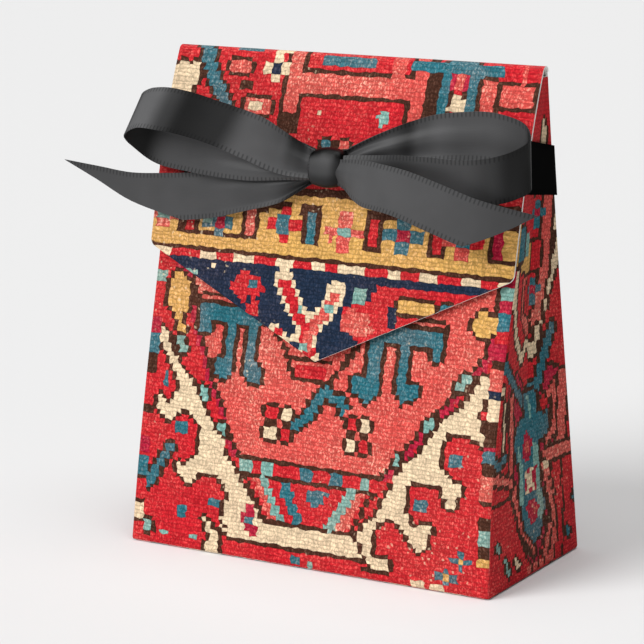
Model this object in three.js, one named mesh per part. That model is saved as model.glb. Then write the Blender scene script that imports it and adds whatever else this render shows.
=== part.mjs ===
// Favour bag with a folded flap top and a satin ribbon tied round it.
//
// The bag is one die-cut sheet of printed card, folded and glued: a front panel, a back panel,
// two side gussets that are each creased down the middle, a base with its tabs, and a closure
// flap that rolls over the ridge and hangs down the front to a shallow V. A ribbon goes round
// the bag and over the flap, and is tied in front in a bow with two loops and two tails.
//
// Millimetres. X runs along the width, the front faces -Y, and Z is up. The origin is in the
// middle of the base, on the surface that the bag stands on.

import * as THREE from 'three';
import { mergeVertices } from 'three/addons/utils/BufferGeometryUtils.js';

// ---------- driving dimensions ----------

// the bag
const bagWidth = 82;             // outside, along X, the same at the base and at the ridge
const bagDepth = 41.7;           // outside, along Y, at the base
const bagHeight = 100.4;         // to the top of the ridge
const cardThickness = 0.45;
const ridgeRadius = 1.3;         // outside radius of the rolled ridge
const frontBowLeft = 0.9;        // how far the front swells past flat at its left edge
const frontBowRight = 3.7;       // and at its right edge
const frontBowPeak = 34;         // where it swells most, above the base
const gussetPinch = 2.7;         // how far the gusset's middle crease sits inside the side
const pinchPower = 1.5;          // above 1, the crease starts gently from the base and the ridge
const mouthDrop = 15;            // from the ridge down to the front panel's top edge
const gussetTopDepth = 1.7;      // half depth of the bag where the gussets stop

// the flap
const flapDrop = 58.9;           // from the ridge down to the point of the V
const shoulderDrop = 39.6;       // from the ridge down to where the V starts at each side
const flapWidthInset = 0.6;      // how much narrower than the bag it is, at each side
const flapGap = 1.35;            // air between the flap's edge and the front panel's swell
const flapEase = 15;             // the drop over which it springs out to that
const flapCornerRadius = 1.6;

// the tabs
const glueTabWidth = 10;
const baseTabHeight = 11;
const dustFlapLength = 16;
const tabTaper = 4;

// the ribbon
const ribbonWidth = 9.6;
const ribbonThickness = 0.4;
const bandDrop = 20;             // from the ridge down to the middle of the band
const bandClearance = 0.5;       // between the ribbon and the card that it goes round
const knotWidth = 8.2;
const knotThickness = 5.0;
const knotHeight = 7.8;
const knotOffset = 0.7;          // how far the bow is tied to the right of the middle
const knotSag = 0.9;             // how far the knot hangs below the middle of the band
const knotStand = 1.4;           // room behind the knot, where the band's ends come forward

// fits
const foldGap = 0.3;             // left between two pieces where the sheet folds
const bandEndGap = 0.8;          // between the band's two ends, behind the knot
const bandCornerRadius = 2 * bandClearance;   // tight enough to clear the card's corners

// ---------- values that follow ----------

const halfWidth = bagWidth / 2;
const ridgeCentreZ = bagHeight - ridgeRadius;
const lean = Math.atan2(bagDepth / 2, ridgeCentreZ)
  - Math.asin(ridgeRadius / Math.hypot(bagDepth / 2, ridgeCentreZ));
const leanSlope = Math.tan(lean);
const backTopZ = ridgeCentreZ + ridgeRadius * Math.sin(lean);
const mouthZ = bagHeight - mouthDrop;
const gussetTopZ = (bagDepth / 2 - gussetTopDepth) / leanSlope;

// half depth of the straight-sided bag at height z
function wallDepth(z) {
  return bagDepth / 2 - z * leanSlope;
}

// the front's swell: nothing at the base, most at frontBowPeak, dying away at the ridge
function frontSwell(x, z) {
  const t = THREE.MathUtils.clamp(z / bagHeight, 0, 1);
  const top = frontBowPeak / bagHeight;
  const rise = 1.2;
  const fall = rise * (1 / top - 1);
  const swell = (t / top) ** rise * ((1 - t) / (1 - top)) ** fall;
  const across = THREE.MathUtils.clamp(x / bagWidth + 0.5, 0, 1);
  return THREE.MathUtils.lerp(frontBowLeft, frontBowRight, across) * swell;
}

function frontDepth(x, z) {
  return wallDepth(z) + frontSwell(x, z);
}

// how far the gusset's crease is inside the side at height z
function creaseInset(z) {
  const t = THREE.MathUtils.clamp(z / bagHeight, 0, 1);
  return gussetPinch * Math.sin(Math.PI * t) ** pinchPower;
}

// how far the flap stands off the bag's straight slope, so that it clears the front's swell
// at its point and at its fuller shoulder
const flapTipZ = bagHeight - flapDrop;
const flapShoulderZ = bagHeight - shoulderDrop;
const flapStand = flapGap + cardThickness
  + Math.max(frontSwell(0, flapTipZ), frontSwell(halfWidth, flapShoulderZ));

// the flap leaves the ridge roll at this angle from upright
const flapStart = Math.atan(leanSlope + flapStand / flapEase);
const flapTop = new THREE.Vector2(
  ridgeRadius * Math.cos(flapStart), ridgeCentreZ + ridgeRadius * Math.sin(flapStart));

// how far in front of the ridge the flap's outer face is at height z
function flapDepth(z) {
  const drop = Math.max(0, flapTop.y - z);
  return flapTop.x + drop * leanSlope + flapStand * (1 - Math.exp(-drop / flapEase));
}

// the flap's slope there, sideways per unit of drop
function flapSlope(z) {
  const drop = Math.max(0, flapTop.y - z);
  return leanSlope + flapStand / flapEase * Math.exp(-drop / flapEase);
}

// the band's middle, and the middle of the knot that is tied in front of it
const bandZ = bagHeight - bandDrop;
const bandFace = flapDepth(bandZ) + bandClearance + ribbonThickness;
const knotSize = new THREE.Vector3(knotWidth, knotThickness, knotHeight);
const knotCentre = new THREE.Vector3(
  knotOffset, -(bandFace + knotStand + knotThickness / 2), bandZ - knotSag);

// ---------- solids ----------

// Finishes a closed geometry: shared corners are merged and the faces point out.
function closedGeometry(geometry) {
  geometry.deleteAttribute('normal');
  geometry.deleteAttribute('uv');
  const merged = mergeVertices(geometry, 1e-4);
  const at = merged.attributes.position;
  const index = merged.index;
  const a = new THREE.Vector3();
  const b = new THREE.Vector3();
  const c = new THREE.Vector3();
  let volume = 0;
  for (let i = 0; i < index.count; i += 3) {
    a.fromBufferAttribute(at, index.getX(i));
    b.fromBufferAttribute(at, index.getX(i + 1));
    c.fromBufferAttribute(at, index.getX(i + 2));
    volume += a.dot(b.cross(c));
  }
  if (volume < 0) {
    for (let i = 0; i < index.count; i += 3) {
      const swap = index.getX(i + 1);
      index.setX(i + 1, index.getX(i + 2));
      index.setX(i + 2, swap);
    }
  }
  merged.computeVertexNormals();
  return merged;
}

// A sheet as a solid: a thin box with nu by nv cells, bent so that its front face lies on
// outer(u, v) and its back face on inner(u, v), with u and v from 0 to 1.
function sheet(outer, inner, nu, nv) {
  const geometry = new THREE.BoxGeometry(1, 1, 1, nu, nv, 1);
  const at = geometry.attributes.position;
  for (let i = 0; i < at.count; i += 1) {
    const u = at.getX(i) + 0.5;
    const v = at.getY(i) + 0.5;
    const point = at.getZ(i) > 0 ? outer(u, v) : inner(u, v);
    at.setXYZ(i, point.x, point.y, point.z);
  }
  return closedGeometry(geometry);
}

const point = (x, y, z) => new THREE.Vector3(x, y, z);
const lerp = THREE.MathUtils.lerp;

// ---------- the card ----------

function frontPanel() {
  const skin = (depth) => (u, v) => {
    const x = lerp(-halfWidth, halfWidth, u);
    const z = v * mouthZ;
    return point(x, depth - frontDepth(x, z), z);
  };
  return sheet(skin(0), skin(cardThickness), 12, 24);
}

function backPanel() {
  const top = backTopZ - foldGap / 2;
  const skin = (depth) => (u, v) => point(
    lerp(halfWidth, -halfWidth, u), wallDepth(v * top) - depth, v * top);
  return sheet(skin(0), skin(cardThickness), 2, 4);
}

// One half of a gusset. side is 1 on the right and -1 on the left, end is -1 for the half
// that joins the front and 1 for the half that joins the back.
function gussetHalf(side, end) {
  const skin = (depth) => (u, v) => {
    const z = v * gussetTopZ;
    const wall = end > 0 ? wallDepth(z) : frontDepth(side * halfWidth, z);
    const fold = wall - cardThickness - foldGap;
    const y = lerp(foldGap / 2, fold, u);
    const x = halfWidth - creaseInset(z) * (1 - u) - depth;
    return point(side * x, end * y, z);
  };
  return sheet(skin(0), skin(cardThickness), 2, 26);
}

// The tab that the back panel is glued to, on the left gusset's back edge.
function sideGlueTab() {
  const start = halfWidth - cardThickness - foldGap - gussetPinch / 2;
  const skin = (depth) => (u, v) => {
    const low = lerp(tabTaper, tabTaper * 2, u);
    const z = lerp(low, mouthZ - low, v);
    const x = -start + u * glueTabWidth;
    return point(x, wallDepth(z) - cardThickness - foldGap - depth, z);
  };
  return sheet(skin(0), skin(cardThickness), 2, 4);
}

function basePanel() {
  const x = halfWidth - cardThickness - foldGap;
  const y = bagDepth / 2 - cardThickness - foldGap;
  const geometry = new THREE.BoxGeometry(2 * x, 2 * y, cardThickness);
  geometry.translate(0, 0, cardThickness / 2);
  return closedGeometry(geometry);
}

// The base's front tab, glued up inside the front panel.
function baseGlueTab() {
  const low = cardThickness + foldGap;
  const skin = (depth) => (u, v) => {
    const half = halfWidth - tabTaper - v * tabTaper;
    const x = lerp(-half, half, u);
    const z = low + v * baseTabHeight;
    return point(x, cardThickness + foldGap + depth - frontDepth(x, z), z);
  };
  return sheet(skin(0), skin(cardThickness), 8, 5);
}

// The gusset's foot flap, folded in on top of the base.
function baseDustFlap(side) {
  const outerX = halfWidth - cardThickness - foldGap;
  const halfY = bagDepth / 2 - 2 * (cardThickness + foldGap) - tabTaper / 2;
  const skin = (z) => (u, v) => {
    const half = halfY - u * tabTaper;
    return point(side * (outerX - u * dustFlapLength), lerp(-half, half, v), z);
  };
  const low = cardThickness + foldGap;
  return sheet(skin(low + cardThickness), skin(low), 4, 2);
}

// The closure flap: the roll over the ridge, then a springy curve down the front that ends
// in a V with rounded shoulders.
function closureFlap() {
  const half = halfWidth - flapWidthInset;
  const startAngle = lean + foldGap / ridgeRadius;
  const endAngle = Math.PI - flapStart;
  const rollShare = 0.3;
  const rowPower = 1.3;          // above 1, rows sit closer together just under the roll
  // the height of the flap's lower edge at x
  const lowerEdge = (x) => {
    const near = half - Math.abs(x);
    const corner = Math.max(0, flapCornerRadius - near);
    const rounded = flapCornerRadius - Math.sqrt(flapCornerRadius ** 2 - corner ** 2);
    return lerp(flapTipZ, flapShoulderZ, Math.abs(x) / half) + rounded;
  };
  const skin = (depth) => (u, v) => {
    // columns close up towards the two side edges, where the corners are round
    const x = half * Math.sin((u - 0.5) * Math.PI);
    if (v < rollShare) {
      const angle = lerp(startAngle, endAngle, v / rollShare);
      const r = ridgeRadius - depth;
      return point(x, r * Math.cos(angle), ridgeCentreZ + r * Math.sin(angle));
    }
    const share = (v - rollShare) / (1 - rollShare);
    const z = lerp(flapTop.y, lowerEdge(x), share ** rowPower);
    const angle = Math.atan(flapSlope(z));
    return point(x, depth * Math.cos(angle) - flapDepth(z), z - depth * Math.sin(angle));
  };
  return sheet(skin(0), skin(cardThickness), 28, 30);
}

// ---------- the ribbon ----------

// The band round the bag and the flap. In plan it is a rectangle with round corners, and it
// leans with the flap in front and with the back panel behind. Its ends meet behind the knot.
function ribbonBand() {
  const x = halfWidth + bandClearance;
  const front = (z) => flapDepth(z) + bandClearance;
  const back = (z) => wallDepth(z) + bandClearance;
  const yf = -front(bandZ);
  const yb = back(bandZ);
  const r = bandCornerRadius;
  const start = knotCentre.x + bandEndGap / 2;
  const cornerSteps = 3;
  const path = new THREE.Path();
  path.moveTo(start, yf);
  path.lineTo(x - r, yf);
  path.absarc(x - r, yf + r, r, -Math.PI / 2, 0);
  path.lineTo(x, yb - r);
  path.absarc(x - r, yb - r, r, 0, Math.PI / 2);
  path.lineTo(-x + r, yb);
  path.absarc(-x + r, yb - r, r, Math.PI / 2, Math.PI);
  path.lineTo(-x, yf + r);
  path.absarc(-x + r, yf + r, r, Math.PI, Math.PI * 1.5);
  path.lineTo(start - bandEndGap, yf);
  const plan = path.getPoints(cornerSteps);
  const last = plan.length - 1;
  const skin = (stand) => (u, v) => {
    const i = Math.round(u * last);
    const at = plan[i];
    const along = plan[Math.min(i + 1, last)].clone().sub(plan[Math.max(i - 1, 0)]).normalize();
    const z = bandZ + (v - 0.5) * ribbonWidth;
    // the straps lean with what they lie on, and the sides shear between them
    const share = THREE.MathUtils.clamp(at.y < 0 ? at.y / (yf + r) : at.y / (yb - r), 0, 1);
    const shift = at.y < 0 ? -yf - front(z) : back(z) - yb;
    return point(at.x + along.y * stand, at.y + share * shift - along.x * stand, z);
  };
  return sheet(skin(ribbonThickness), skin(0), last, 4);
}

// A length of ribbon. Each station has the middle of the ribbon, measured from the middle of
// the knot, the direction across it from its lower to its upper edge, and the share of the
// full width that it is gathered to. cut is how far short the lower edge stops, as a share of
// the length, for a tail with a bias cut.
function ribbonStrip(stations, steps, cut = 0) {
  const middle = new THREE.CatmullRomCurve3(
    stations.map((s) => point(...s.at).add(knotCentre)));
  const across = new THREE.CatmullRomCurve3(
    stations.map((s) => point(...s.up).normalize().multiplyScalar(s.gather * ribbonWidth / 2)));
  const skin = (stand) => (u, v) => {
    const t = u * (1 - cut * (1 - v));
    const here = middle.getPoint(t);
    const up = across.getPoint(t);
    const out = up.clone().cross(middle.getTangent(t)).normalize();
    return here.addScaledVector(up, v * 2 - 1).addScaledVector(out, stand);
  };
  return sheet(skin(ribbonThickness / 2), skin(-ribbonThickness / 2), steps, 2);
}

// The loops start behind the knot's face on one side and come back to it: first the front
// layer out to the turn, then the back layer in again.
const loopLeftStations = [
  { at: [-4.7, -1.3, 1.1], up: [0.15, 0, 1], gather: 0.42 },
  { at: [-9.2, -2.3, 2.4], up: [0.2, 0, 0.95], gather: 0.8 },
  { at: [-14.7, -4.3, 5.3], up: [0.44, 0, 0.9], gather: 1 },
  { at: [-22.7, -5.7, 7.9], up: [0.56, 0, 0.82], gather: 1 },
  { at: [-32.5, -5.8, 9.7], up: [0.48, 0.05, 0.88], gather: 1 },
  { at: [-40.7, -4.3, 9.6], up: [0.48, 0.05, 0.88], gather: 1 },
  { at: [-44.9, -2.4, 7.6], up: [0.42, 0.05, 0.9], gather: 1 },
  { at: [-43.5, -0.6, 5.1], up: [0.33, 0.02, 0.95], gather: 1 },
  { at: [-37.7, -0.9, 2.6], up: [0.3, 0.05, 0.95], gather: 1 },
  { at: [-28.7, -1, 1.4], up: [0.3, 0.06, 0.94], gather: 1 },
  { at: [-17.7, -0.9, 0.2], up: [0.2, 0.06, 0.97], gather: 0.85 },
  { at: [-9.7, -0.5, -0.3], up: [0.1, 0, 1], gather: 0.6 },
  { at: [-4.7, -0.1, -0.2], up: [0, 0, 1], gather: 0.36 },
];

const loopRightStations = [
  { at: [4.7, -0.8, 0.1], up: [0, -0.05, 1], gather: 0.46 },
  { at: [10.3, -1.6, -0.3], up: [0.03, -0.07, 1], gather: 0.76 },
  { at: [17.3, -3.1, -0.3], up: [-0.02, -0.12, 0.99], gather: 0.92 },
  { at: [23.9, -4.5, -0.2], up: [0, -0.17, 0.98], gather: 0.98 },
  { at: [31.5, -5.1, -0.1], up: [0.08, -0.25, 0.95], gather: 1 },
  { at: [36.8, -4.1, 0.5], up: [0.06, -0.25, 0.95], gather: 1 },
  { at: [40.9, -1.5, 1.8], up: [0.05, -0.16, 0.98], gather: 1 },
  { at: [42.7, 1.3, 3.5], up: [-0.02, -0.05, 1], gather: 1 },
  { at: [40.5, 2.9, 6.1], up: [0, 0.02, 1], gather: 1 },
  { at: [34.3, 2.3, 8], up: [0, 0.05, 1], gather: 0.98 },
  { at: [27.8, 1.8, 7.9], up: [0, 0.05, 1], gather: 0.95 },
  { at: [22.3, 1.4, 7.2], up: [0, 0.05, 1], gather: 0.92 },
  { at: [16.8, 1, 5.8], up: [0, 0.05, 1], gather: 0.84 },
  { at: [9.3, 0.8, 3.7], up: [0, 0, 1], gather: 0.6 },
  { at: [4.7, 0.9, 1.9], up: [0, 0, 1], gather: 0.38 },
];

const tailLeftStations = [
  { at: [-4.7, 0.7, -2.6], up: [0, 0, 1], gather: 0.28 },
  { at: [-10.7, 0.4, -4.5], up: [0.15, 0, 1], gather: 0.72 },
  { at: [-18.7, 0.2, -5.8], up: [0.03, 0.04, 1], gather: 0.9 },
  { at: [-28.2, 0, -7.7], up: [-0.1, 0.06, 1], gather: 0.98 },
  { at: [-37.2, -0.2, -8.7], up: [-0.05, 0.03, 1], gather: 1 },
  { at: [-46.2, -0.5, -9.2], up: [0, 0.05, 1], gather: 1 },
  { at: [-54.2, -0.5, -8.5], up: [0.1, 0.03, 1], gather: 1 },
  { at: [-63.4, -0.2, -7.7], up: [0.2, 0, 1], gather: 1 },
];

const tailRightStations = [
  { at: [4.7, -2, -0.3], up: [0, 0, 1], gather: 0.38 },
  { at: [7.3, -3.3, -1.2], up: [0.1, 0, 1], gather: 0.75 },
  { at: [11.9, -5.5, -1.8], up: [0.3, -0.03, 0.95], gather: 0.97 },
  { at: [19.4, -7.5, -2.5], up: [0.4, -0.05, 0.91], gather: 1 },
  { at: [27.5, -8.3, -4.6], up: [0.38, 0, 0.93], gather: 1 },
  { at: [33.9, -7.2, -6.9], up: [0.36, 0.04, 0.93], gather: 1 },
  { at: [39.3, -4.3, -8.7], up: [0.3, 0.05, 0.95], gather: 1 },
  { at: [44.2, -0.9, -10.3], up: [0.22, 0.05, 0.97], gather: 1 },
];

// The knot: a cushion of wrapped ribbon, a box with its sides rounded over.
function bowKnot() {
  const geometry = new THREE.BoxGeometry(2, 2, 2, 8, 6, 8);
  const at = geometry.attributes.position;
  const p = new THREE.Vector3();
  for (let i = 0; i < at.count; i += 1) {
    p.fromBufferAttribute(at, i);
    const round = (Math.abs(p.x) ** 3 + Math.abs(p.y) ** 3 + Math.abs(p.z) ** 3) ** (1 / 3);
    p.divideScalar(round).multiply(knotSize).multiplyScalar(0.5).add(knotCentre);
    at.setXYZ(i, p.x, p.y, p.z);
  }
  return closedGeometry(geometry);
}

// ---------- the object ----------

const card = { color: 0xb8262f, roughness: 0.62, metalness: 0 };
const satin = { color: 0x2b2b2d, roughness: 0.42, metalness: 0 };

const bag = new THREE.Group();

function add(name, geometry, finish) {
  const mesh = new THREE.Mesh(geometry, new THREE.MeshStandardMaterial(finish));
  mesh.name = name;
  bag.add(mesh);
}

add('front_panel', frontPanel(), card);
add('back_panel', backPanel(), card);
add('base_panel', basePanel(), card);
add('gusset_right_front', gussetHalf(1, -1), card);
add('gusset_right_back', gussetHalf(1, 1), card);
add('gusset_left_front', gussetHalf(-1, -1), card);
add('gusset_left_back', gussetHalf(-1, 1), card);
add('side_glue_tab', sideGlueTab(), card);
add('base_glue_tab', baseGlueTab(), card);
add('base_dust_flap_right', baseDustFlap(1), card);
add('base_dust_flap_left', baseDustFlap(-1), card);
add('closure_flap', closureFlap(), card);
add('ribbon_band', ribbonBand(), satin);
add('bow_knot', bowKnot(), satin);
add('bow_loop_left', ribbonStrip(loopLeftStations, 44), satin);
add('bow_loop_right', ribbonStrip(loopRightStations, 48), satin);
add('ribbon_tail_left', ribbonStrip(tailLeftStations, 24, 0.48), satin);
add('ribbon_tail_right', ribbonStrip(tailRightStations, 24, 0.32), satin);

export default bag;
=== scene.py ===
# %% [markdown]
# # A favour bag of printed card, tied with a satin ribbon
#
# The bag stands about as tall as a hand is long. It is one sheet of card, folded into a tent
# shape with creased sides, and its flap rolls over the ridge and hangs down the front to a
# shallow V. A charcoal satin ribbon holds it shut with a bow.
#
# The plain model that moves is loaded first. Nothing in it is moved or resized here: each
# piece that shows is made round it, in metres, in the same place.

# %% Load the frame
import math

import bpy
import numpy as np
from mathutils import Matrix, Vector


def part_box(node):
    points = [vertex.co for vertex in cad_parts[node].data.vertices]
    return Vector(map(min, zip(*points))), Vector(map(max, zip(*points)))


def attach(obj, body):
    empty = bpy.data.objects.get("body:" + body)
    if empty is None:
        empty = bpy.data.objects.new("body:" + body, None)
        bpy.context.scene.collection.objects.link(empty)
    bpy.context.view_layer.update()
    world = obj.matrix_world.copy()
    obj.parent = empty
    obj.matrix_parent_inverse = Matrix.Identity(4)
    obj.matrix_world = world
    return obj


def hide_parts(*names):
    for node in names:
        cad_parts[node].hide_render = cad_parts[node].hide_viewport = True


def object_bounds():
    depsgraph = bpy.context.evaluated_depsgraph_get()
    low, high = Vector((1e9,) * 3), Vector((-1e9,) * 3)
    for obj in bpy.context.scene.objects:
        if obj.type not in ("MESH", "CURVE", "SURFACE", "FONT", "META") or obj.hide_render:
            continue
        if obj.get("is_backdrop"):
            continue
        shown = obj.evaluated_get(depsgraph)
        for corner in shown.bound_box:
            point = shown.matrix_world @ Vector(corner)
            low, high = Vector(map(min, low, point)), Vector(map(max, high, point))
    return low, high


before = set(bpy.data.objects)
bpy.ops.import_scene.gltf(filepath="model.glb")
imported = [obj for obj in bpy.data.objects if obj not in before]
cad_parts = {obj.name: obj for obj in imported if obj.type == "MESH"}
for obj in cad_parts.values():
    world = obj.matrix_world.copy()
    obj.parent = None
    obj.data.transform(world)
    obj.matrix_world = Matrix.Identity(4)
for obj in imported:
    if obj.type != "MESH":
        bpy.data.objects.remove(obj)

MM = 0.001
cad_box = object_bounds()

# %% [markdown]
# ## The camera
#
# A long lens from a little above the bag keeps its upright edges nearly parallel, so its
# shape reads clearly. A camera can be aimed with a constraint, or with an angle for each
# axis. Here its three directions are worked out from how far it is turned round the bag, how
# high it sits and how far it rolls, so each of those is one number that can be changed.

# %% Camera
view_turn = math.radians(29.59)
view_rise = math.radians(11.59)
view_roll = math.radians(0.27)
view_distance = 533.9 * MM
view_target = Vector((-7.78, 0, 45.63)) * MM
lens_length = 146.85
sensor_width = 36
nearest_seen = 0.01

ahead = Vector((-math.sin(view_turn) * math.cos(view_rise),
                math.cos(view_turn) * math.cos(view_rise),
                -math.sin(view_rise)))
level = Vector((math.cos(view_turn), math.sin(view_turn), 0))
right = level * math.cos(view_roll) + level.cross(ahead) * math.sin(view_roll)
above = right.cross(ahead)

camera_data = bpy.data.cameras.new("camera")
camera_data.sensor_width = sensor_width
camera_data.lens = lens_length
camera_data.clip_start = nearest_seen
camera = bpy.data.objects.new("camera", camera_data)
camera.matrix_world = Matrix((
    (right.x, above.x, -ahead.x, 0),
    (right.y, above.y, -ahead.y, 0),
    (right.z, above.z, -ahead.z, 0),
    (0, 0, 0, 1)))
camera.location = view_target - ahead * view_distance
scene = bpy.context.scene
scene.collection.objects.link(camera)
scene.camera = camera
print("camera at", [round(v, 3) for v in camera.location])

# %% [markdown]
# ## Small helpers for materials
#
# A material is a graph of nodes. Wiring one by hand takes three lines for each node, so one
# helper makes a node, sets it up and plugs in what it reads, whether that is another node's
# socket or a plain value. A second helper is for arithmetic, which comes up most.

# %% Node helpers
def srgb(code):
    """A colour written as RRGGBB, in the linear light that nodes work in."""
    parts = [int(code[i:i + 2], 16) / 255 for i in (0, 2, 4)]
    return tuple(p / 12.92 if p < 0.04045 else ((p + 0.055) / 1.055) ** 2.4 for p in parts) + (1,)


def put(tree, kind, reads=(), **settings):
    """A node of this kind. reads maps an input's name or number to a socket or a value."""
    made = tree.nodes.new("ShaderNode" + kind)
    for name, value in settings.items():
        setattr(made, name, value)
    for name, value in dict(reads).items():
        if isinstance(value, bpy.types.NodeSocket):
            tree.links.new(value, made.inputs[name])
        else:
            made.inputs[name].default_value = value
    return made


def sum_of(tree, operation, a, b=0.0, c=0.0):
    """The socket with the result of one arithmetic step."""
    return put(tree, "Math", {0: a, 1: b, 2: c}, operation=operation).outputs[0]


def spread(tree, value, low, high, to_low, to_high):
    """value, which runs from low to high, run from to_low to to_high instead, and held there."""
    return put(tree, "MapRange", {0: value, 1: low, 2: high, 3: to_low, 4: to_high}).outputs[0]


def blended(tree, share, a, b, how="MIX"):
    """The colour a, with share of the colour b mixed over it."""
    made = put(tree, "Mix", data_type="RGBA", blend_type=how)
    for slot, value in ((0, share), (6, a), (7, b)):
        if isinstance(value, bpy.types.NodeSocket):
            tree.links.new(value, made.inputs[slot])
        else:
            made.inputs[slot].default_value = value
    return made.outputs[2]


def times(tree, a, b):
    return sum_of(tree, "MULTIPLY", a, b)


def off_centre(tree, share):
    """How far a value from 0 to 1 is from the middle."""
    return sum_of(tree, "ABSOLUTE", sum_of(tree, "SUBTRACT", share, 0.5))


def grey(tree, value):
    """The colour that has this value in all its parts."""
    return put(tree, "CombineColor", {0: value, 1: value, 2: value}).outputs[0]


def new_material(name):
    made = bpy.data.materials.new(name)
    made.use_nodes = True
    return made, made.node_tree, made.node_tree.nodes["Principled BSDF"]


print("middle grey in linear light:", round(srgb("808080")[0], 3))

# %% [markdown]
# ## Light
#
# The bag is lit by one very large soft light at the front left, with something pale all
# round. A ring of lamps could do it, but the sky can be that light by itself: it is bright in
# one direction and falls away smoothly, so shadows stay soft and dark satin still has
# something bright to reflect on one side only. Two soft suns then give the print its
# strength and settle a shadow under the bag.

# %% Sky and lamps
key_direction = Vector((-0.45, -0.8, 0.62)).normalized()
sky_low, sky_high = 0.22, 3.1
away, facing_it = -0.2, 0.95

world = bpy.data.worlds.new("studio")
world.use_nodes = True
scene.world = world
sky = world.node_tree
towards = put(sky, "VectorMath", {0: put(sky, "TexCoord").outputs["Generated"],
                                  1: tuple(key_direction)}, operation="DOT_PRODUCT")
glow = spread(sky, towards.outputs["Value"], away, facing_it, sky_low, sky_high)
sky.links.new(glow, sky.nodes["Background"].inputs["Strength"])


def sun(name, direction, strength, softness):
    lamp = bpy.data.lights.new(name, "SUN")
    lamp.energy = strength
    lamp.angle = math.radians(softness)
    made = bpy.data.objects.new(name, lamp)
    made.rotation_euler = Vector(direction).to_track_quat("Z", "Y").to_euler()
    scene.collection.objects.link(made)
    print(name, "of strength", strength, "and", softness, "degrees across")


sun("key_light", key_direction, 2.6, 35)
sun("top_light", (0.1, -0.1, 1), 2.1, 50)

# %% [markdown]
# ## Floor
#
# The bag stands on a plain pale table. A curved paper sheet behind it is the usual way to
# lose the table's edge, but a flat floor far wider than any view does that too, and looks
# the same from every side.

# %% Floor
reach = 6.0
floor_mesh = bpy.data.meshes.new("floor")
floor_mesh.from_pydata([(-reach, -reach, 0), (reach, -reach, 0), (reach, reach, 0),
                        (-reach, reach, 0)], [], [(0, 1, 2, 3)])
floor = bpy.data.objects.new("floor", floor_mesh)
scene.collection.objects.link(floor)
paint, tree, shader = new_material("pale_floor")
shader.inputs["Base Color"].default_value = srgb("DDDDDD")
shader.inputs["Roughness"].default_value = 0.9
shader.inputs["Specular IOR Level"].default_value = 0.1
floor_mesh.materials.append(paint)
floor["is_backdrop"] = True
scene.view_settings.view_transform = "Standard"
print("floor", 2 * reach, "metres across")

# %% [markdown]
# ## The folded card
#
# The bag's sides are flat cut card, but no side is quite flat: the front swells where the
# filling pushes it, and each gusset is drawn in along its middle crease. So the shape is
# written as a few curves of the height, and every panel is laid on those same curves. Panels
# that share a fold then meet exactly, with no gap to hide.

# %% Sizes of the card, read from the frame
half_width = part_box("front_panel")[1].x
bag_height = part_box("closure_flap")[1].z
half_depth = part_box("back_panel")[1].y
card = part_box("base_panel")[1].z
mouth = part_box("front_panel")[1].z
under_ridge = 1.2 * MM
gusset_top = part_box("gusset_right_back")[1].z + under_ridge

ridge_radius = 1.3 * MM
swell_left, swell_right, swell_peak = 0.9 * MM, 3.7 * MM, 34 * MM
swell_rise = 1.2
pinch, pinch_power = 2.7 * MM, 1.5
fold_radius = 0.75 * MM
base_radius = 0.8 * MM

ridge_z = bag_height - ridge_radius
hill = math.hypot(half_depth, ridge_z)
lean = math.atan2(half_depth, ridge_z) - math.asin(ridge_radius / hill)
slope = math.tan(lean)
print("the walls lean", round(math.degrees(lean), 1), "degrees")


def belly(x, z):
    """How far the filling pushes the front out past flat: not at all at the base and the ridge."""
    t = np.clip(z / bag_height, 0, 1)
    top = swell_peak / bag_height
    fall = swell_rise * (1 / top - 1)
    across = np.clip(x / (2 * half_width) + 0.5, 0, 1)
    most = swell_left + (swell_right - swell_left) * across
    return most * (t / top) ** swell_rise * ((1 - t) / (1 - top)) ** fall


def wall(z):
    """Half depth of the straight-sided bag at height z."""
    return half_depth - z * slope

# %% [markdown]
# ### How the flap hangs
#
# The flap rolls over the ridge, springs out just far enough to clear the front's belly, and
# then hangs beside it. It could follow the front at a fixed distance, but stiff card doesn't:
# it leaves the ridge at an angle and straightens within a finger's width. An exponential
# does that with one length, and gives the roll the angle that it has to stop at.

# %% The flap's curve
sliver = 0.08 * MM
shoulder_drop = 39.6 * MM
hug_start, hug_run = 62 * MM, 16 * MM
flap_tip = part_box("closure_flap")[0].z
flap_half = half_width - sliver
shoulder = bag_height - shoulder_drop
flap_gap, flap_ease, shoulder_radius = 1.35 * MM, 15 * MM, 1.1 * MM
stand = flap_gap + card + max(float(belly(0, flap_tip)), float(belly(half_width, shoulder)))
flap_start = math.atan(slope + stand / flap_ease)
roll_end = math.pi - flap_start
flap_top_y = ridge_radius * math.cos(flap_start)
flap_top_z = ridge_z + ridge_radius * math.sin(flap_start)
print("the flap stands", round(stand / MM, 2), "mm off the sloping front")


def flap_depth(z):
    """How far in front of the ridge the flap's face is."""
    drop = np.maximum(0, flap_top_z - z)
    return flap_top_y + drop * slope + stand * (1 - np.exp(-drop / flap_ease))


def swell(x, z):
    """The belly, and above it the front and its gussets pulled up against the flap by the ribbon."""
    hug = flap_depth(z) - card - sliver - wall(z)
    t = np.clip((z - hug_start) / hug_run, 0, 1)
    pull = t * t * (3 - 2 * t)
    return belly(x, z) * (1 - pull) + np.maximum(hug, 0) * pull


def crease(z):
    """How far a gusset's middle crease is inside the side at height z."""
    return pinch * np.sin(math.pi * np.clip(z / bag_height, 0, 1)) ** pinch_power

# %% [markdown]
# ### Going round the bag
#
# Seen from above, the card is a six-cornered loop: four rounded folds and two creases. A
# place on the card is given by its panel, by how far across that panel it is, and by its
# height. Numbers below 0 or above 1 run round the fold as far as its middle, where the next
# panel takes over.

# %% Places on the wrap
corner_names = ("front_left", "front_right", "crease_right",
                "back_right", "back_left", "crease_left")


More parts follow.
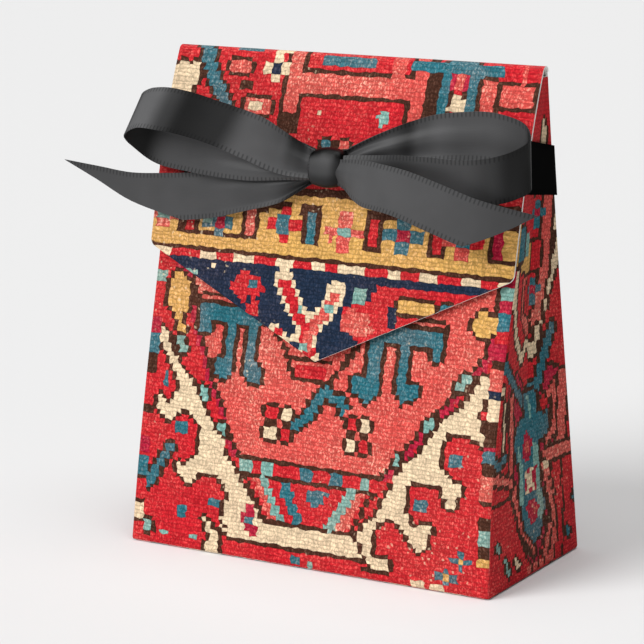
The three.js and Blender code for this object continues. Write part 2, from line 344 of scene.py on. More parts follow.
def corners(z):
    """The six corners at each height in z, anticlockwise from the front left."""
    left = -wall(z) - swell(-half_width, z)
    right = -wall(z) - swell(half_width, z)
    tuck = half_width - crease(z)
    full = np.full_like(z, half_width)
    return [np.stack(c, -1) for c in (
        (-full, left), (full, right), (tuck, 0 * z),
        (full, wall(z)), (-full, wall(z)), (-tuck, 0 * z))]


def unit(v):
    return v / np.linalg.norm(v, axis=-1, keepdims=True)


def dot(a, b):
    return (a * b).sum(-1, keepdims=True)


def is_crease(corner):
    return "crease" in corner_names[corner % 6]


def fold_at(end, inward, other, corner):
    """Where a panel turns into its fold, the fold's centre, and which way its middle faces."""
    outward = unit(other - end)
    half_angle = np.arccos(np.clip(dot(inward, outward), -1, 1)) / 2
    radius = 0.0 if is_crease(corner) else fold_radius
    between = unit(inward + outward)
    return (end + inward * radius / np.tan(half_angle),
            end + between * radius / np.sin(half_angle), -between)


def on_wrap(panel, share, z):
    """Outside point and outward direction, for arrays of share across and height."""
    loop = corners(z)
    before, here, there, after = (loop[(panel + k) % 6] for k in (-1, 0, 1, 2))
    along = unit(there - here)
    out = np.stack((along[..., 1], -along[..., 0]), -1)
    start, start_hub, start_out = fold_at(here, along, before, panel)
    stop, stop_hub, stop_out = fold_at(there, -along, after, panel + 1)
    point = start + (stop - start) * np.clip(share, 0, 1)[..., None]
    normal = out.copy()
    for hub, mid_out, how_far in ((start_hub, start_out, -share), (stop_hub, stop_out, share - 1)):
        turn = np.clip(how_far, 0, 1)[..., None]
        angle = np.arccos(np.clip(dot(out, mid_out), -1, 1))
        swing = unit(out * np.sin((1 - turn) * angle) + mid_out * np.sin(turn * angle))
        point = np.where(turn > 0, hub + swing * fold_radius, point)
        normal = np.where(turn > 0, swing, normal)
    # the bottom edge tucks in under the bag
    low = np.clip(base_radius - z, 0, base_radius)[..., None]
    tuck = base_radius - np.sqrt(base_radius ** 2 - low ** 2)
    point = point - normal * tuck
    return (np.concatenate((point, z[..., None]), -1),
            np.concatenate((normal, 0 * z[..., None]), -1))


def width_at(panel, z):
    """Width of the panel between its corners at height z."""
    loop = corners(np.atleast_1d(z))
    return np.linalg.norm(loop[(panel + 1) % 6] - loop[panel], axis=-1)


print("the front is", round(float(width_at(0, 0.0)[0]) / MM, 1), "mm wide at its foot")

# %% [markdown]
# ## The print
#
# The card is printed all over with an old knotted rug: stepped shapes in red, coral, teal,
# cream and gold, each one outlined in brown. A weaver works from a squared plan with one yarn
# in each square, and the print is made here in the same way. Each square of the plan becomes
# one face of the card's mesh, which keeps the number of its yarn. The material then turns the
# numbers into colours and adds what makes wool look like wool.

# %% A squared plan to draw on
# each yarn's colour, and how thinly it was dyed
yarns = {"red": ("C2202A", 0.22), "crimson": ("AC1B38", 0.2), "coral": ("CF4C46", 0.85),
         "brown": ("43271C", 0.1), "cream": ("DEC6A4", 0.15), "gold": ("D2A258", 0.4),
         "teal": ("286A77", 0.32), "sea": ("74A39A", 0.4), "navy": ("1C2B40", 0.06)}
yarn_names = list(yarns)
knot_wide, knot_high = 1.0 * MM, 0.8 * MM


class Plan:
    """A weaver's squared plan. Places are counted in knots across and up."""

    def __init__(self, left, right, low, high, ground):
        self.left, self.low = left, low
        across = np.arange(left, right) + 0.5
        up = np.arange(low, high) + 0.5
        self.x, self.z = np.meshgrid(across, up)
        self.yarn = np.full(self.x.shape, yarn_names.index(ground))

    def paint(self, mask, yarn, edge=None):
        if edge:
            grown = mask.copy()
            grown[1:] |= mask[:-1]
            grown[:-1] |= mask[1:]
            grown[:, 1:] |= mask[:, :-1]
            grown[:, :-1] |= mask[:, 1:]
            self.yarn[grown] = yarn_names.index(edge)
        self.yarn[mask] = yarn_names.index(yarn)

    def box(self, left, right, low, high, yarn, edge=None):
        self.paint((self.x > left) & (self.x < right) & (self.z > low) & (self.z < high), yarn, edge)

    def shape(self, outline, yarn, edge=None):
        """Fills a closed outline: a knot is inside if its middle is."""
        mask = np.zeros(self.x.shape, bool)
        for (ax, az), (bx, bz) in zip(outline, outline[1:] + outline[:1]):
            if az != bz:
                crosses = (self.z < az) != (self.z < bz)
                mask ^= crosses & (self.x < ax + (self.z - az) * (bx - ax) / (bz - az))
        self.paint(mask, yarn, edge)

    def line(self, route, wide, yarn, edge=None):
        """A line along the route, wide knots across."""
        mask = np.zeros(self.x.shape, bool)
        for (ax, az), (bx, bz) in zip(route, route[1:]):
            dx, dz = bx - ax, bz - az
            t = np.clip(((self.x - ax) * dx + (self.z - az) * dz) / (dx * dx + dz * dz), 0, 1)
            mask |= np.hypot(self.x - ax - t * dx, self.z - az - t * dz) < wide / 2
        self.paint(mask, yarn, edge)

    def row(self, low, high, start, steps, yarns_in_turn):
        """Blocks side by side, of the widths in steps."""
        at = start
        for i, step in enumerate(steps):
            self.box(at, at + step, low, high, yarns_in_turn[i % len(yarns_in_turn)])
            at += step

    def column(self, left, right, start, steps, yarns_in_turn):
        """Blocks one above the other, of the heights in steps."""
        at = start
        for i, step in enumerate(steps):
            self.box(left, right, at, at + step, yarns_in_turn[i % len(yarns_in_turn)])
            at += step

    def cross(self, x, z, reach, thick, yarn, centre):
        """A small flower: a cross with a square eye."""
        self.box(x - reach, x + reach, z - thick, z + thick, yarn)
        self.box(x - thick, x + thick, z - reach, z + reach, yarn)
        self.box(x - thick, x + thick, z - thick, z + thick, centre)

    def at(self, x, z):
        """The yarn at each place in x and z, in knots."""
        rows, columns = self.yarn.shape
        column = np.clip(np.floor(x - self.left).astype(int), 0, columns - 1)
        row = np.clip(np.floor(z - self.low).astype(int), 0, rows - 1)
        return self.yarn[row, column]

    def count(self, yarn):
        return int((self.yarn == yarn_names.index(yarn)).sum())


print(len(yarns), "yarns, in knots", knot_wide / MM, "mm wide and", knot_high / MM, "mm high")

# %% [markdown]
# ### The front's plan
#
# The front is one field between two cream bands that run down and inward. Each band throws
# hooks outward round red lobes. Between the bands stand two hooked teal figures, a chevron
# and four small chequers, above a row of blocks and a little striped basket.

# %% Front: the field
front = Plan(0, 82, 0, 126, "red")
front_middle = 42.5

# the coral field has a crimson border, and sea-green steps where its outline is worn
front.shape([(23, 25), (59, 25), (63, 30), (73, 45), (82, 60), (82, 74), (3, 74), (9, 58), (15, 42)],
            "crimson")
front.shape([(25, 26), (57, 26), (61, 31), (71, 46), (78, 58), (79, 74), (8, 74), (11, 58), (17, 42)],
            "coral", "brown")
for x, z in ((14, 40), (19.5, 31), (7.5, 51), (61, 30), (68, 40), (74.5, 51)):
    inward = 0.6 if x < front_middle else -0.6
    front.line([(x - inward, z + 1.4), (x + inward, z - 1.6)], 1.8, "sea", "brown")
print("front:", front.count("coral"), "coral knots")

# %% [markdown]
# The bands are drawn as closed outlines, corner by corner, because that is how a weaver reads
# them. A band and its mirror image would be simpler, but on a real rug the two sides never
# match, so each has its own outline.

# %% Front: the cream bands
front.shape([(3, 57), (4, 52), (7, 47), (10, 44), (12, 40), (14, 37), (17, 32), (19, 30), (21, 25.5),
             (24, 22), (27, 17), (30, 12.5), (31, 10), (55, 10), (54, 5), (24, 5), (21, 8), (22, 12),
             (23, 15), (21, 19), (15, 20.5), (12, 16), (9.5, 19), (9, 23), (11, 21), (14, 24),
             (14, 31), (12, 34), (9.5, 35), (5.5, 31.5), (3.5, 34), (2.6, 38.5), (5, 36), (7, 37.5),
             (8, 41), (6, 45), (4, 48.5), (2, 52)], "cream", "brown")
front.shape([(53, 10), (54, 13), (57, 17), (60, 24), (63, 29), (67, 34), (70, 40), (75, 46), (79, 54.5),
             (80.5, 50), (78, 44), (80, 38.5), (80.5, 36), (79, 37.5), (76, 39.5), (72, 38.5),
             (70.5, 35), (71, 30.5), (74, 27), (76.8, 27.5), (75, 22), (73.8, 20), (71.5, 26),
             (65, 26.5), (63.5, 22), (65, 16), (66, 14), (68, 16.5), (70, 16), (68.5, 10), (67, 9),
             (64, 14), (61, 16.3), (57, 15), (55.5, 9), (56, 5.6), (59, 6), (60.2, 6.5), (60, 3),
             (57, 2.5), (55, 4.6)], "cream", "brown")
front.shape([(16, 10), (18, 4), (16.5, 0), (21, 0), (20.5, 4), (22, 9), (19, 5.5)], "cream", "brown")

# each red lobe between the hooks has a teal eye
for x, z, wide, high in ((4.6, 42, 0.9, 1.7), (9.8, 30.4, 1.4, 1.5), (18.8, 13, 1.4, 1.5),
                         (11, 9.6, 1.5, 1.7), (74.4, 32.4, 1.6, 1.7), (67.2, 20.4, 1.5, 1.4)):
    front.box(x - wide, x + wide, z - high, z + high, "teal")
front.line([(2.5, 15), (4.5, 20), (7, 25)], 2.2, "teal", "brown")
print("front:", front.count("cream"), "cream knots")

# %% [markdown]
# Each teal figure is a bar on two legs that turn outward at the foot. Under them are a
# bracket, a stepped chevron and two groups of chequers.

# %% Front: figures in the field
front.box(11, 28, 62.4, 64.4, "coral", "brown")
front.box(52, 69, 62.4, 64.4, "coral", "brown")
front.shape([(11, 61.6), (27.5, 61.6), (27.5, 58.4), (26.4, 58.4), (26.4, 49), (28.4, 48), (28.4, 45),
             (25.8, 43.4), (24, 45), (23.6, 49), (23.6, 58.4), (20.6, 58.4), (20.6, 46), (18.6, 43.6),
             (15.6, 45.6), (15.6, 48.6), (18, 49.4), (18, 58.4), (13.6, 58.4), (13.6, 54.8), (11, 54.8)],
            "teal", "brown")
front.shape([(51.5, 61.6), (69.4, 61.6), (69.4, 54.8), (66.8, 54.8), (66.8, 58.4), (61.6, 58.4),
             (61.6, 49.6), (64.8, 48.6), (64.8, 45.8), (61, 44.2), (58.8, 46.4), (58.8, 58.4),
             (54.8, 58.4), (54.8, 45.6), (52.6, 43), (49.2, 45.6), (49.2, 48.6), (52, 48.8),
             (52, 58.4), (51.5, 58.4)], "teal", "brown")

front.box(35, 44, 50.6, 52, "brown")
front.line([(30, 58), (34, 52), (35.5, 46.5), (44, 46.5), (50, 57)], 1.3, "brown")
front.box(35.8, 43.5, 47.4, 50.4, "red")
front.line([(36.6, 35), (39.6, 38), (41.6, 42), (43.4, 44.6), (45.4, 42.6), (47, 43),
            (48.4, 39.2)], 2.2, "teal", "brown")
for x in (30.4, 48.6):
    front.box(x - 0.6, x + 6, 30.4, 40.6, "coral")
    front.box(x, x + 2.4, 31, 34.4, "cream", "brown")
    front.box(x + 3.2, x + 5.4, 31, 34, "red", "brown")
    front.box(x, x + 2.4, 36.2, 39, "red", "brown")
    front.box(x + 3.2, x + 5.4, 35.8, 39, "cream", "brown")
print("front:", front.count("teal"), "teal knots")

# %% [markdown]
# A row of blocks closes the field, over a basket with slanted stripes. The slant makes
# steps of one knot, which a box can't, so the stripes are lines and outlines.

# %% Front: blocks and basket
front.box(24, 58, 24.9, 26.2, "brown")
front.box(24.5, 57, 21.9, 24.9, "red")
for x, wide, yarn in ((25, 2.6, "sea"), (30, 3.4, "sea"), (39, 2.6, "teal"), (46, 3.2, "teal"),
                      (53, 1.8, "sea")):
    front.box(x, x + wide, 22, 24.9, yarn)
front.box(25, 57, 20.9, 22, "brown")
front.shape([(27, 21), (55, 21), (50.5, 11), (32, 11)], "red", "brown")
front.shape([(28, 21), (30.5, 21), (35, 11.2), (32.5, 11.2)], "coral")
front.shape([(51.5, 21), (54, 21), (50, 11.2), (47, 11.2)], "coral")
front.line([(30.6, 21), (35, 11.5)], 2.0, "sea")
front.line([(51.4, 21), (46.4, 11.5)], 2.2, "sea")
front.line([(35.8, 20), (36.6, 17.6), (39.4, 12)], 2.4, "teal")
front.shape([(40.6, 20), (45.8, 20), (44.4, 17), (43, 16), (41.6, 17)], "teal")
front.box(24, 55, 4, 5, "brown")
front.box(54, 60, 1.6, 3, "brown")
print("front:", front.count("sea"), "sea-green knots")

# %% [markdown]
# The flap hides the top of the front until it is lifted. The rug goes on there more simply:
# blocks, a gold band with flowers, and a coral frame.

# %% Front: behind the flap
front.row(75, 78, 0, (5, 5, 6, 5, 5, 4, 6, 5, 5, 6, 4, 5, 6, 5, 5, 5), ("red", "cream"))
front.box(0, 82, 79, 93, "gold", "brown")
front.box(0, 82, 78, 79, "brown")
for x in (9, 26, 42, 58, 73):
    front.cross(x, 86, 3.6, 1.3, "teal", "red")
for x in (17.5, 34, 50, 65.5):
    front.box(x - 2.4, x + 2.4, 81, 91, "red", "brown")
    front.box(x - 0.8, x + 0.8, 83, 89, "sea")
front.box(6, 76, 96, 103, "coral", "brown")
front.box(14, 68, 98, 101, "teal", "brown")
print("front:", front.count("gold"), "gold knots")

# %% [markdown]
# Small fillings keep the large plain places from looking empty: a flower in the cream, two
# gold buds, and flowers and dashes at the foot. Guard strips of short blocks run down both
# sides.

# %% Front: fillings and guard strips
front.line([(28.2, 13), (27.2, 10.4), (29, 7)], 2.6, "crimson")
front.box(27.4, 28.8, 9.4, 11.4, "teal")
front.shape([(5, 70), (7.5, 67), (8.4, 62), (7, 58), (8, 54.5), (6.6, 54), (5, 58), (2.6, 61), (3, 66)],
            "gold", "brown")
front.shape([(76, 68), (80, 67), (80.4, 63), (77.5, 61.6), (75, 63.5)], "gold", "brown")
front.box(38, 40.4, 1, 3, "teal")
front.box(42, 43.4, 0.4, 2, "sea")
for x, z in ((76.5, 8.4), (73.4, 3.8)):
    front.cross(x, z, 2.4, 0.9, "teal", "gold")
front.box(75.7, 77.3, 7.6, 9.4, "gold")
front.row(0.4, 2.2, 66, (2.6, 1.2, 3, 1), ("cream", "red"))
front.row(3, 4, 6, (2.4, 4.4, 2), ("sea", "red"))
front.box(2, 4, 3, 6, "sea", "brown")
front.column(0, 2, 0, (5, 1, 4, 1.4, 5, 1, 5, 1, 4, 6, 2, 8, 4.4, 5.6, 4, 9, 3, 5),
             ("red", "brown", "cream", "brown", "red", "brown", "teal", "red", "crimson", "red",
              "brown", "red", "brown", "teal", "crimson", "red", "sea", "red"))
front.column(80, 82, 0, (8, 2.4, 3, 3.4, 3, 3, 1, 6, 3, 3.4, 1.2, 6, 5, 1.4, 5.6, 1.2, 4, 3, 4, 3, 3.4, 4),
             ("red", "gold", "brown", "sea", "brown", "red", "brown", "coral", "brown", "teal",
              "crimson", "brown", "cream", "navy", "coral", "brown", "crimson", "red", "teal",
              "crimson", "sea", "crimson"))
print("front plan:", front.yarn.shape)

# %% [markdown]
# ### The flap's plan
#
# The flap carries the rug's border: a gold strip with small flowers in square frames, a
# barber's-pole stripe under it, and the dark blue corner of the next field, which the V cuts
# off. Above the ribbon come red panels with coral key frames.

# %% Flap: the blue corner
flap = Plan(0, 82, 48, 128, "red")
flap.shape([(0, 73.6), (82, 73.6), (82, 71.4), (54, 71.4), (50, 66), (46, 66), (46, 61), (50, 58),
            (56, 48), (20, 48), (0, 66)], "navy")
flap.shape([(53, 71.6), (74, 71.6), (82, 74), (82, 60), (50, 58.6), (46, 61), (46, 66), (51, 67)], "red")
flap.shape([(45.6, 61), (47, 66), (52, 64.6), (53, 60), (49, 58.4)], "coral")
flap.box(58, 66.5, 66, 68.8, "gold", "brown")
flap.box(56, 58, 62.4, 66.6, "navy")
flap.box(66.5, 70, 64.8, 68.6, "teal", "brown")
flap.box(9, 12.4, 69.6, 71.4, "sea")
flap.box(47.6, 50.6, 67.4, 70.8, "sea")
flap.shape([(23, 72), (26.4, 70.8), (28, 68), (26.4, 66), (27.4, 61), (24, 60.4), (23.4, 64.6),
            (20, 67.6), (21, 70)], "red")
flap.box(24.4, 26.4, 67.6, 69.6, "teal")
flap.box(23.6, 25, 63.6, 65.6, "navy")
flap.line([(32, 71.4), (34.2, 66), (37.6, 61), (39.6, 53)], 4.4, "cream")
flap.line([(44.4, 70), (43, 65), (39.6, 60.6), (38.6, 54)], 4.2, "cream")
flap.line([(32.4, 70), (34.6, 65.6), (37.8, 60), (39.6, 53.6)], 2.6, "red")
flap.line([(44, 68.4), (42.4, 64), (39.8, 60), (38.8, 55)], 2.2, "coral")
flap.line([(31, 59.4), (34, 56), (36, 57)], 2.0, "cream")
flap.box(31.4, 33.4, 57, 58.8, "red")
for x, z in ((36.4, 63.6), (38.2, 55.4), (43, 64.8)):
    flap.box(x - 0.8, x + 0.8, z - 1, z + 1, "sea")
flap.box(15, 16, 71.6, 73.4, "cream")
print("flap:", flap.count("navy"), "navy knots")

# %% [markdown]
# The pole stripe and the gold strip run the whole width. Every flower in the gold strip is a
# cross with a square eye, in its own two yarns, and brown frames part it from the next.

# %% Flap: the stripe and the gold strip
flap.row(73.6, 75.7, 0, (4.6, 7.4, 4, 4, 5, 5, 4, 4.4, 3, 3, 6, 5, 3, 3.4, 4, 5, 4, 5, 4),
         ("cream", "red"))
flap.box(0, 82, 75.7, 77, "brown")
flap.box(0, 82, 77, 91.4, "gold")
flap.box(6.4, 11, 79, 86, "brown")
flap.row(79, 80.2, 6, (18, 25, 4, 10, 3, 10, 6), ("brown", "gold"))
flap.row(87.4, 88.8, 6, (4, 14, 8, 20, 10, 14, 12), ("brown", "gold"))
for left, yarn in ((8, "red"), (22, "coral"), (50.4, "red"), (64, "red"), (77, "crimson")):
    flap.box(left - 1.2, left + 2.8, 79, 88.6, "brown")
    flap.box(left, left + 1.6, 80.4, 87.4, yarn)
flap.box(25.4, 26.6, 86, 88.6, "brown")
flap.box(34, 40, 78.6, 88.6, "brown")
flap.box(34, 35.4, 78.6, 86, "gold")
flap.box(36.2, 38.4, 79.4, 86.6, "teal")
flap.box(39.4, 41, 78.4, 89, "gold")
flap.cross(2.6, 83, 3.4, 1.4, "coral", "sea")
flap.cross(15.8, 82.6, 3.6, 1.3, "teal", "crimson")
flap.box(12, 14.4, 82.4, 85.6, "sea")
flap.cross(30.8, 83.4, 4.2, 1.3, "red", "teal")
flap.box(29.4, 32, 81.4, 86, "teal")
flap.cross(44.2, 83, 4.6, 1.4, "coral", "sea")
flap.box(40.6, 42.4, 80.4, 82, "coral")
flap.cross(57.8, 83.4, 4.4, 1.4, "teal", "crimson")
flap.cross(70.6, 83.2, 4.4, 1.6, "coral", "teal")
flap.box(66.6, 69, 82.4, 85.4, "coral")
flap.box(72.4, 75, 82, 85.4, "red")
flap.box(0, 82, 91.4, 92.8, "brown")
print("flap:", flap.count("gold"), "gold knots")

# %% [markdown]
# Above the ribbon the red ground has little figures in it and coral key frames with brown
# borders. The frames run on over the ridge to the back, so the plan is drawn up to there.

# %% Flap: red ground and key frames
flap.row(92.8, 100, 0, (6, 1, 9, 1, 30, 1, 34), ("red", "brown"))
flap.box(36.6, 39.4, 102, 105.4, "teal", "brown")
flap.box(41, 43.4, 102.6, 105, "coral", "brown")
flap.shape([(48, 112), (50, 113), (51.4, 112), (50, 109), (49, 110)], "sea")
for x, z in ((35, 111), (36.6, 107.6), (11, 96.4), (4, 95), (33.6, 109), (53.6, 114.4)):
    flap.box(x, x + 0.9, z, z + 1.2, "cream")
flap.line([(28.6, 108), (28.6, 128)], 5.2, "brown")
flap.line([(57, 108), (57, 128)], 5.2, "brown")
flap.box(28, 57, 115, 122, "brown")
flap.box(27, 30.4, 110, 128, "coral")
flap.box(55.4, 58.4, 110, 128, "coral")
flap.box(27, 58.4, 116.2, 120.8, "coral")
flap.box(31.6, 54, 122, 128, "red")
flap.box(49.6, 53.2, 120, 128, "coral")
flap.box(34, 46, 123.2, 125.2, "teal")
flap.box(27, 31, 109.4, 111, "brown")
print("flap:", flap.count("coral"), "coral knots")

# %% [markdown]
# The corners by the ridge differ: a cream patch, a teal diagonal and a flower on the left,
# and a teal arch with a stepped filling on the right.

# %% Flap: the corners by the ridge
flap.shape([(-1, 114), (5.4, 114), (5.8, 122.6), (4, 122), (2.6, 118.6), (1.6, 121.6), (-1, 121)],
           "cream", "brown")
flap.box(2, 3.2, 118, 121, "navy")
flap.box(14.4, 20.4, 125, 127.4, "teal")
flap.box(16, 19, 115.8, 118, "brown")
flap.line([(6.4, 126), (9, 120), (14, 111)], 2.8, "teal", "brown")
flap.box(13, 17.6, 120, 123.4, "coral", "brown")
flap.box(17.6, 24, 110.4, 114, "coral", "brown")
flap.box(19, 22.4, 111, 113, "cream")
flap.cross(24, 121.4, 3.2, 1.3, "cream", "navy")
flap.box(23, 27.4, 125.4, 127.4, "cream")
flap.line([(61.6, 108), (61.6, 124.4), (68.4, 124.4), (68.4, 108)], 2.2, "teal", "brown")
flap.box(54, 74, 123.2, 125.2, "teal")
flap.shape([(63, 114), (67.4, 114), (66.4, 116.8), (65.2, 119), (64, 116.8)], "cream")
flap.row(119, 122.6, 63, (1.4, 1.6, 1.4), ("crimson", "coral"))
flap.box(70.4, 82, 115, 122, "brown")
flap.box(71.2, 81, 116.2, 120.6, "coral")
flap.box(70.4, 73.4, 108, 122, "coral", "brown")
flap.box(77.6, 80.4, 120.6, 128, "coral")
print("flap plan:", flap.yarn.shape)

# %% [markdown]
# ### The sides and the back
#
# Each side shows a strip of the same rug, centred on its crease: a shield outlined by a cream
# zigzag, over a long teal medallion in stepped frames. Counting across starts at the crease,
# so the plan's left half is for the front half of the gusset. The back repeats the front's
# field and the flap's border above it.

# %% Sides: the shield
side = Plan(-25, 25, 0, 126, "red")
side.line([(-12, 80), (-12, 70), (-9.6, 61), (-5, 55), (-1.6, 59), (1.4, 54.6), (3.6, 62),
           (6, 71), (9, 80), (8, 90)], 1.9, "cream", "brown")
side.line([(4.4, 96), (4.4, 74), (2.4, 64), (-1, 62)], 2.6, "coral", "brown")
side.line([(-4.6, 74), (-4.6, 66), (-1, 61)], 2.6, "coral", "brown")
side.shape([(-9, 83), (0, 83), (0, 76), (-9, 77)], "gold", "brown")
side.box(-12, -7, 80, 88, "teal", "brown")
side.box(-6, -3, 80, 86, "sea")
side.box(-0.4, 3.4, 76, 83, "red", "brown")
side.cross(0.8, 70.6, 3.6, 1, "teal", "crimson")
side.cross(0.8, 89.6, 3.2, 1, "teal", "crimson")
side.cross(-3, 104, 3, 1, "teal", "crimson")
side.line([(-1, 96), (1.4, 102), (0.6, 112)], 1.6, "cream", "brown")
side.box(-4, -2, 66, 73, "red", "brown")
print("side:", side.count("cream"), "cream knots")

# %% [markdown]
# The medallion is built from the outside in: its crimson ground, the coral frames, the teal
# body, and then the small fillings in the body.

# %% Sides: the medallion
side.shape([(-9, 36), (-13, 40), (-13, 50), (-7, 52), (-2, 47), (2, 47), (5, 52), (11, 50),
            (11, 36), (9, 33), (5, 10), (0, 2), (-4, 6), (-11, 22)], "crimson", "brown")
side.line([(-9.4, 50), (-11, 46), (-11, 28), (-10, 22), (-6, 12), (-0.6, 5)], 2.0, "coral", "brown")
side.line([(7.6, 44), (9.4, 46), (9.4, 34), (6.4, 33), (6.4, 22), (8, 12), (5, 4)],
          1.8, "coral", "brown")
side.line([(-16, 56), (-9, 49), (-4, 44), (0, 47), (3, 46), (5.4, 54), (8, 61)],
          2.4, "teal", "brown")
side.shape([(-8, 39), (-3, 40), (-2.6, 46), (2.4, 46), (3, 40), (7, 39.6), (7, 34), (3, 33),
            (2.6, 24), (5, 17), (3, 9), (0, 8), (-5, 13), (-7, 21), (-7.4, 30), (-9, 34)],
           "teal", "brown")
side.line([(-6.6, 33), (-6, 20)], 1.8, "sea")
side.line([(1.8, 32), (3.2, 14)], 1.6, "sea")
side.line([(-1, 45), (0.6, 40)], 1.4, "sea")
side.shape([(-3, 37), (0, 35), (1, 32.4), (-1, 29), (-4, 29), (-5.4, 32.4)], "crimson")
side.shape([(-2.6, 34.4), (-0.6, 33), (-2, 30.6), (-4, 32)], "coral")
side.shape([(-4.4, 27), (1.6, 27), (1.6, 21), (-4.4, 21)], "crimson")
side.line([(-3.6, 26), (0.6, 22)], 1.7, "cream")
side.line([(0, 26.6), (-3, 21.6)], 1.7, "cream")
side.shape([(-4, 18), (0, 19.6), (3, 17), (1.6, 13.6), (-1.6, 13)], "crimson")
side.shape([(-1, 17.6), (2, 17), (0.6, 14.4)], "coral")
side.shape([(5, 44), (7.6, 42.4), (6, 40), (4, 41.6)], "red", "brown")
print("side:", side.count("teal"), "teal knots")

# %% [markdown]
# Outside the medallion come the frames and strips nearest the bag's corners. They are seen at
# a slant, so short blocks are enough there.

# %% Sides: frames and strips
side.box(11, 14, 30, 49, "coral", "brown")
side.box(5, 17, 27, 30, "coral", "brown")
side.line([(5, 26), (8, 18), (9.6, 10), (8, 2)], 1.8, "coral", "brown")
side.line([(12, 26), (14, 12), (13, 0)], 1.0, "brown")
side.box(5, 7.4, 25.2, 26.6, "cream")
side.shape([(15, 8), (17, 6.4), (16.6, 4.6), (15.2, 5.4)], "teal", "brown")
side.box(17.6, 20, 14, 17, "teal", "brown")
side.line([(-17, 50), (-15.6, 44), (-15.4, 36)], 1.6, "cream", "brown")
side.box(-18.6, -17, 34, 48, "red", "brown")
side.line([(-23, 34), (-18, 32), (-15, 33)], 1.8, "teal", "brown")
side.line([(-21, 29), (-16, 28), (-11, 26)], 2.0, "coral", "brown")
side.line([(-25, 22.6), (-12, 22.6), (-7, 12), (0, 4)], 1.2, "brown")
side.shape([(-19, 13), (-17.6, 12), (-17, 9.6), (-18.4, 10.4)], "sea", "brown")
side.shape([(-14.6, 8), (-12.6, 6), (-12, 3), (-14, 4.6)], "sea", "brown")
side.line([(-10, 7), (-7.8, 4.4)], 1.4, "cream", "brown")
side.row(0.6, 3, -4, (2, 1, 2.4, 1, 2, 1, 2), ("coral", "brown"))
side.column(-22, -19, 50, (4, 3, 4, 1, 5, 3, 2, 4, 3, 4, 5, 3),
            ("crimson", "teal", "coral", "brown"))
side.column(-18.4, -15.4, 54, (3, 4, 3, 3, 5, 3, 4), ("teal", "brown", "crimson", "cream", "brown"))
side.column(-24.6, -22, 0, (4, 8, 2, 6, 1, 7, 3, 9, 2, 8),
            ("red", "crimson", "brown", "red", "brown"))
print("side plan:", side.yarn.shape)

# %% [markdown]
# ### The back's plan
#
# Behind, the card is printed with the front's field below and the flap's border above,
# turned the other way round. Drawing it again would be a third plan for a side with nothing
# new on it, so the rows are copied from the two plans that are there.

# %% Back
split = 73
back = Plan(0, 82, 0, 128, "red")
back.yarn[:split] = front.yarn[:split, ::-1]
back.yarn[split:] = flap.yarn[split - flap.low:, ::-1]
print("back plan:", back.yarn.shape)

# %% [markdown]
# ## Materials for the card
#
# Printed card has a coated face that scatters light softly, and a bare white back. The print
# carries the picture of the wool: each knot is a little lighter or darker than the next, the
# rows of knots are parted by thin shadows, and where the old rug is worn its pale threads
# show as specks. An image could hold all that, but worked out by nodes it stays sharp at any
# distance, and the colours can be changed in one place.

# %% Printed card: its yarns
printed, tree, shader = new_material("printed_card")
yarn_number = put(tree, "Attribute", attribute_name="yarn").outputs["Fac"]


def by_yarn(colours):
    """The yarn's own colour out of this list, with no blending from one to the next."""
    ramp = put(tree, "ValToRGB", {0: yarn_number})
    ramp.color_ramp.interpolation = "CONSTANT"
    stops = ramp.color_ramp.elements
    for i, colour in enumerate(colours):
        stop = stops[i] if i < len(stops) else stops.new(i / len(yarns))
        stop.position = i / len(yarns)
        stop.color = colour
    return ramp.outputs[0]


colour = by_yarn([srgb(code) for code, _ in yarns.values()])
thin = by_yarn([(share, share, share, 1) for _, share in yarns.values()])
print("printed card has", len(yarns), "yarn colours")

# %% [markdown]
# ### Wear, dye and strands
#
# The corals and teals were dyed thinly, so they show wear and pale strands most. Worn wool is
# paler, in soft patches a finger wide. Each knot has its own depth of dye, with short upright
# strands in it, and the lightest strands are frayed and paler. Noise alone would run across
# the knots, so each knot reads the noise at a place of its own.

# %% Printed card: wool
knots = put(tree, "UVMap", uv_map="knots").outputs[0]
one_knot = put(tree, "VectorMath", {0: knots}, operation="FLOOR").outputs[0]
by_knot = put(tree, "TexWhiteNoise", {0: one_knot}, noise_dimensions="2D")
within = put(tree, "VectorMath", {0: knots}, operation="FRACTION").outputs[0]
inside_knot = put(tree, "SeparateXYZ", {0: within})
place = put(tree, "TexCoord").outputs["Object"]
patches = {"Vector": place, "Scale": 48, "Detail": 3, "Roughness": 0.6}
wear = put(tree, "TexNoise", patches).outputs[0]
worn = times(tree, spread(tree, wear, 0.42, 0.68, 0.0, 0.3), thin)
colour = blended(tree, worn, colour, srgb("D98A74"))

apart = put(tree, "VectorMath", {0: by_knot.outputs[1], 1: (9, 9, 0)}, operation="MULTIPLY")
stretched = put(tree, "Mapping", {0: knots, 3: (2.3, 1.1, 1)})
strands = put(tree, "VectorMath", {0: stretched.outputs[0], 1: apart.outputs[0]})
strand = put(tree, "TexNoise", {"Vector": strands.outputs[0], "Scale": 1, "Detail": 2,
                                "Roughness": 0.6}, noise_dimensions="2D").outputs[0]
depth = times(tree, spread(tree, by_knot.outputs[0], 0, 1, 0.88, 1.22),
              spread(tree, strand, 0.32, 0.68, 0.72, 1.26))
frayed = times(tree, spread(tree, strand, 0.52, 0.72, 0.0, 0.62),
               times(tree, thin, spread(tree, wear, 0.35, 0.6, 0.35, 1.0)))
colour = blended(tree, frayed, colour, srgb("EBC7AE"))
print("strands per knot:", stretched.inputs[3].default_value[0])

# %% [markdown]
# ### Partings and specks
#
# Thin shadows part the rows of knots, with fainter ones between the columns. Where the pile
# has gone, the cotton under it shows as pale specks.

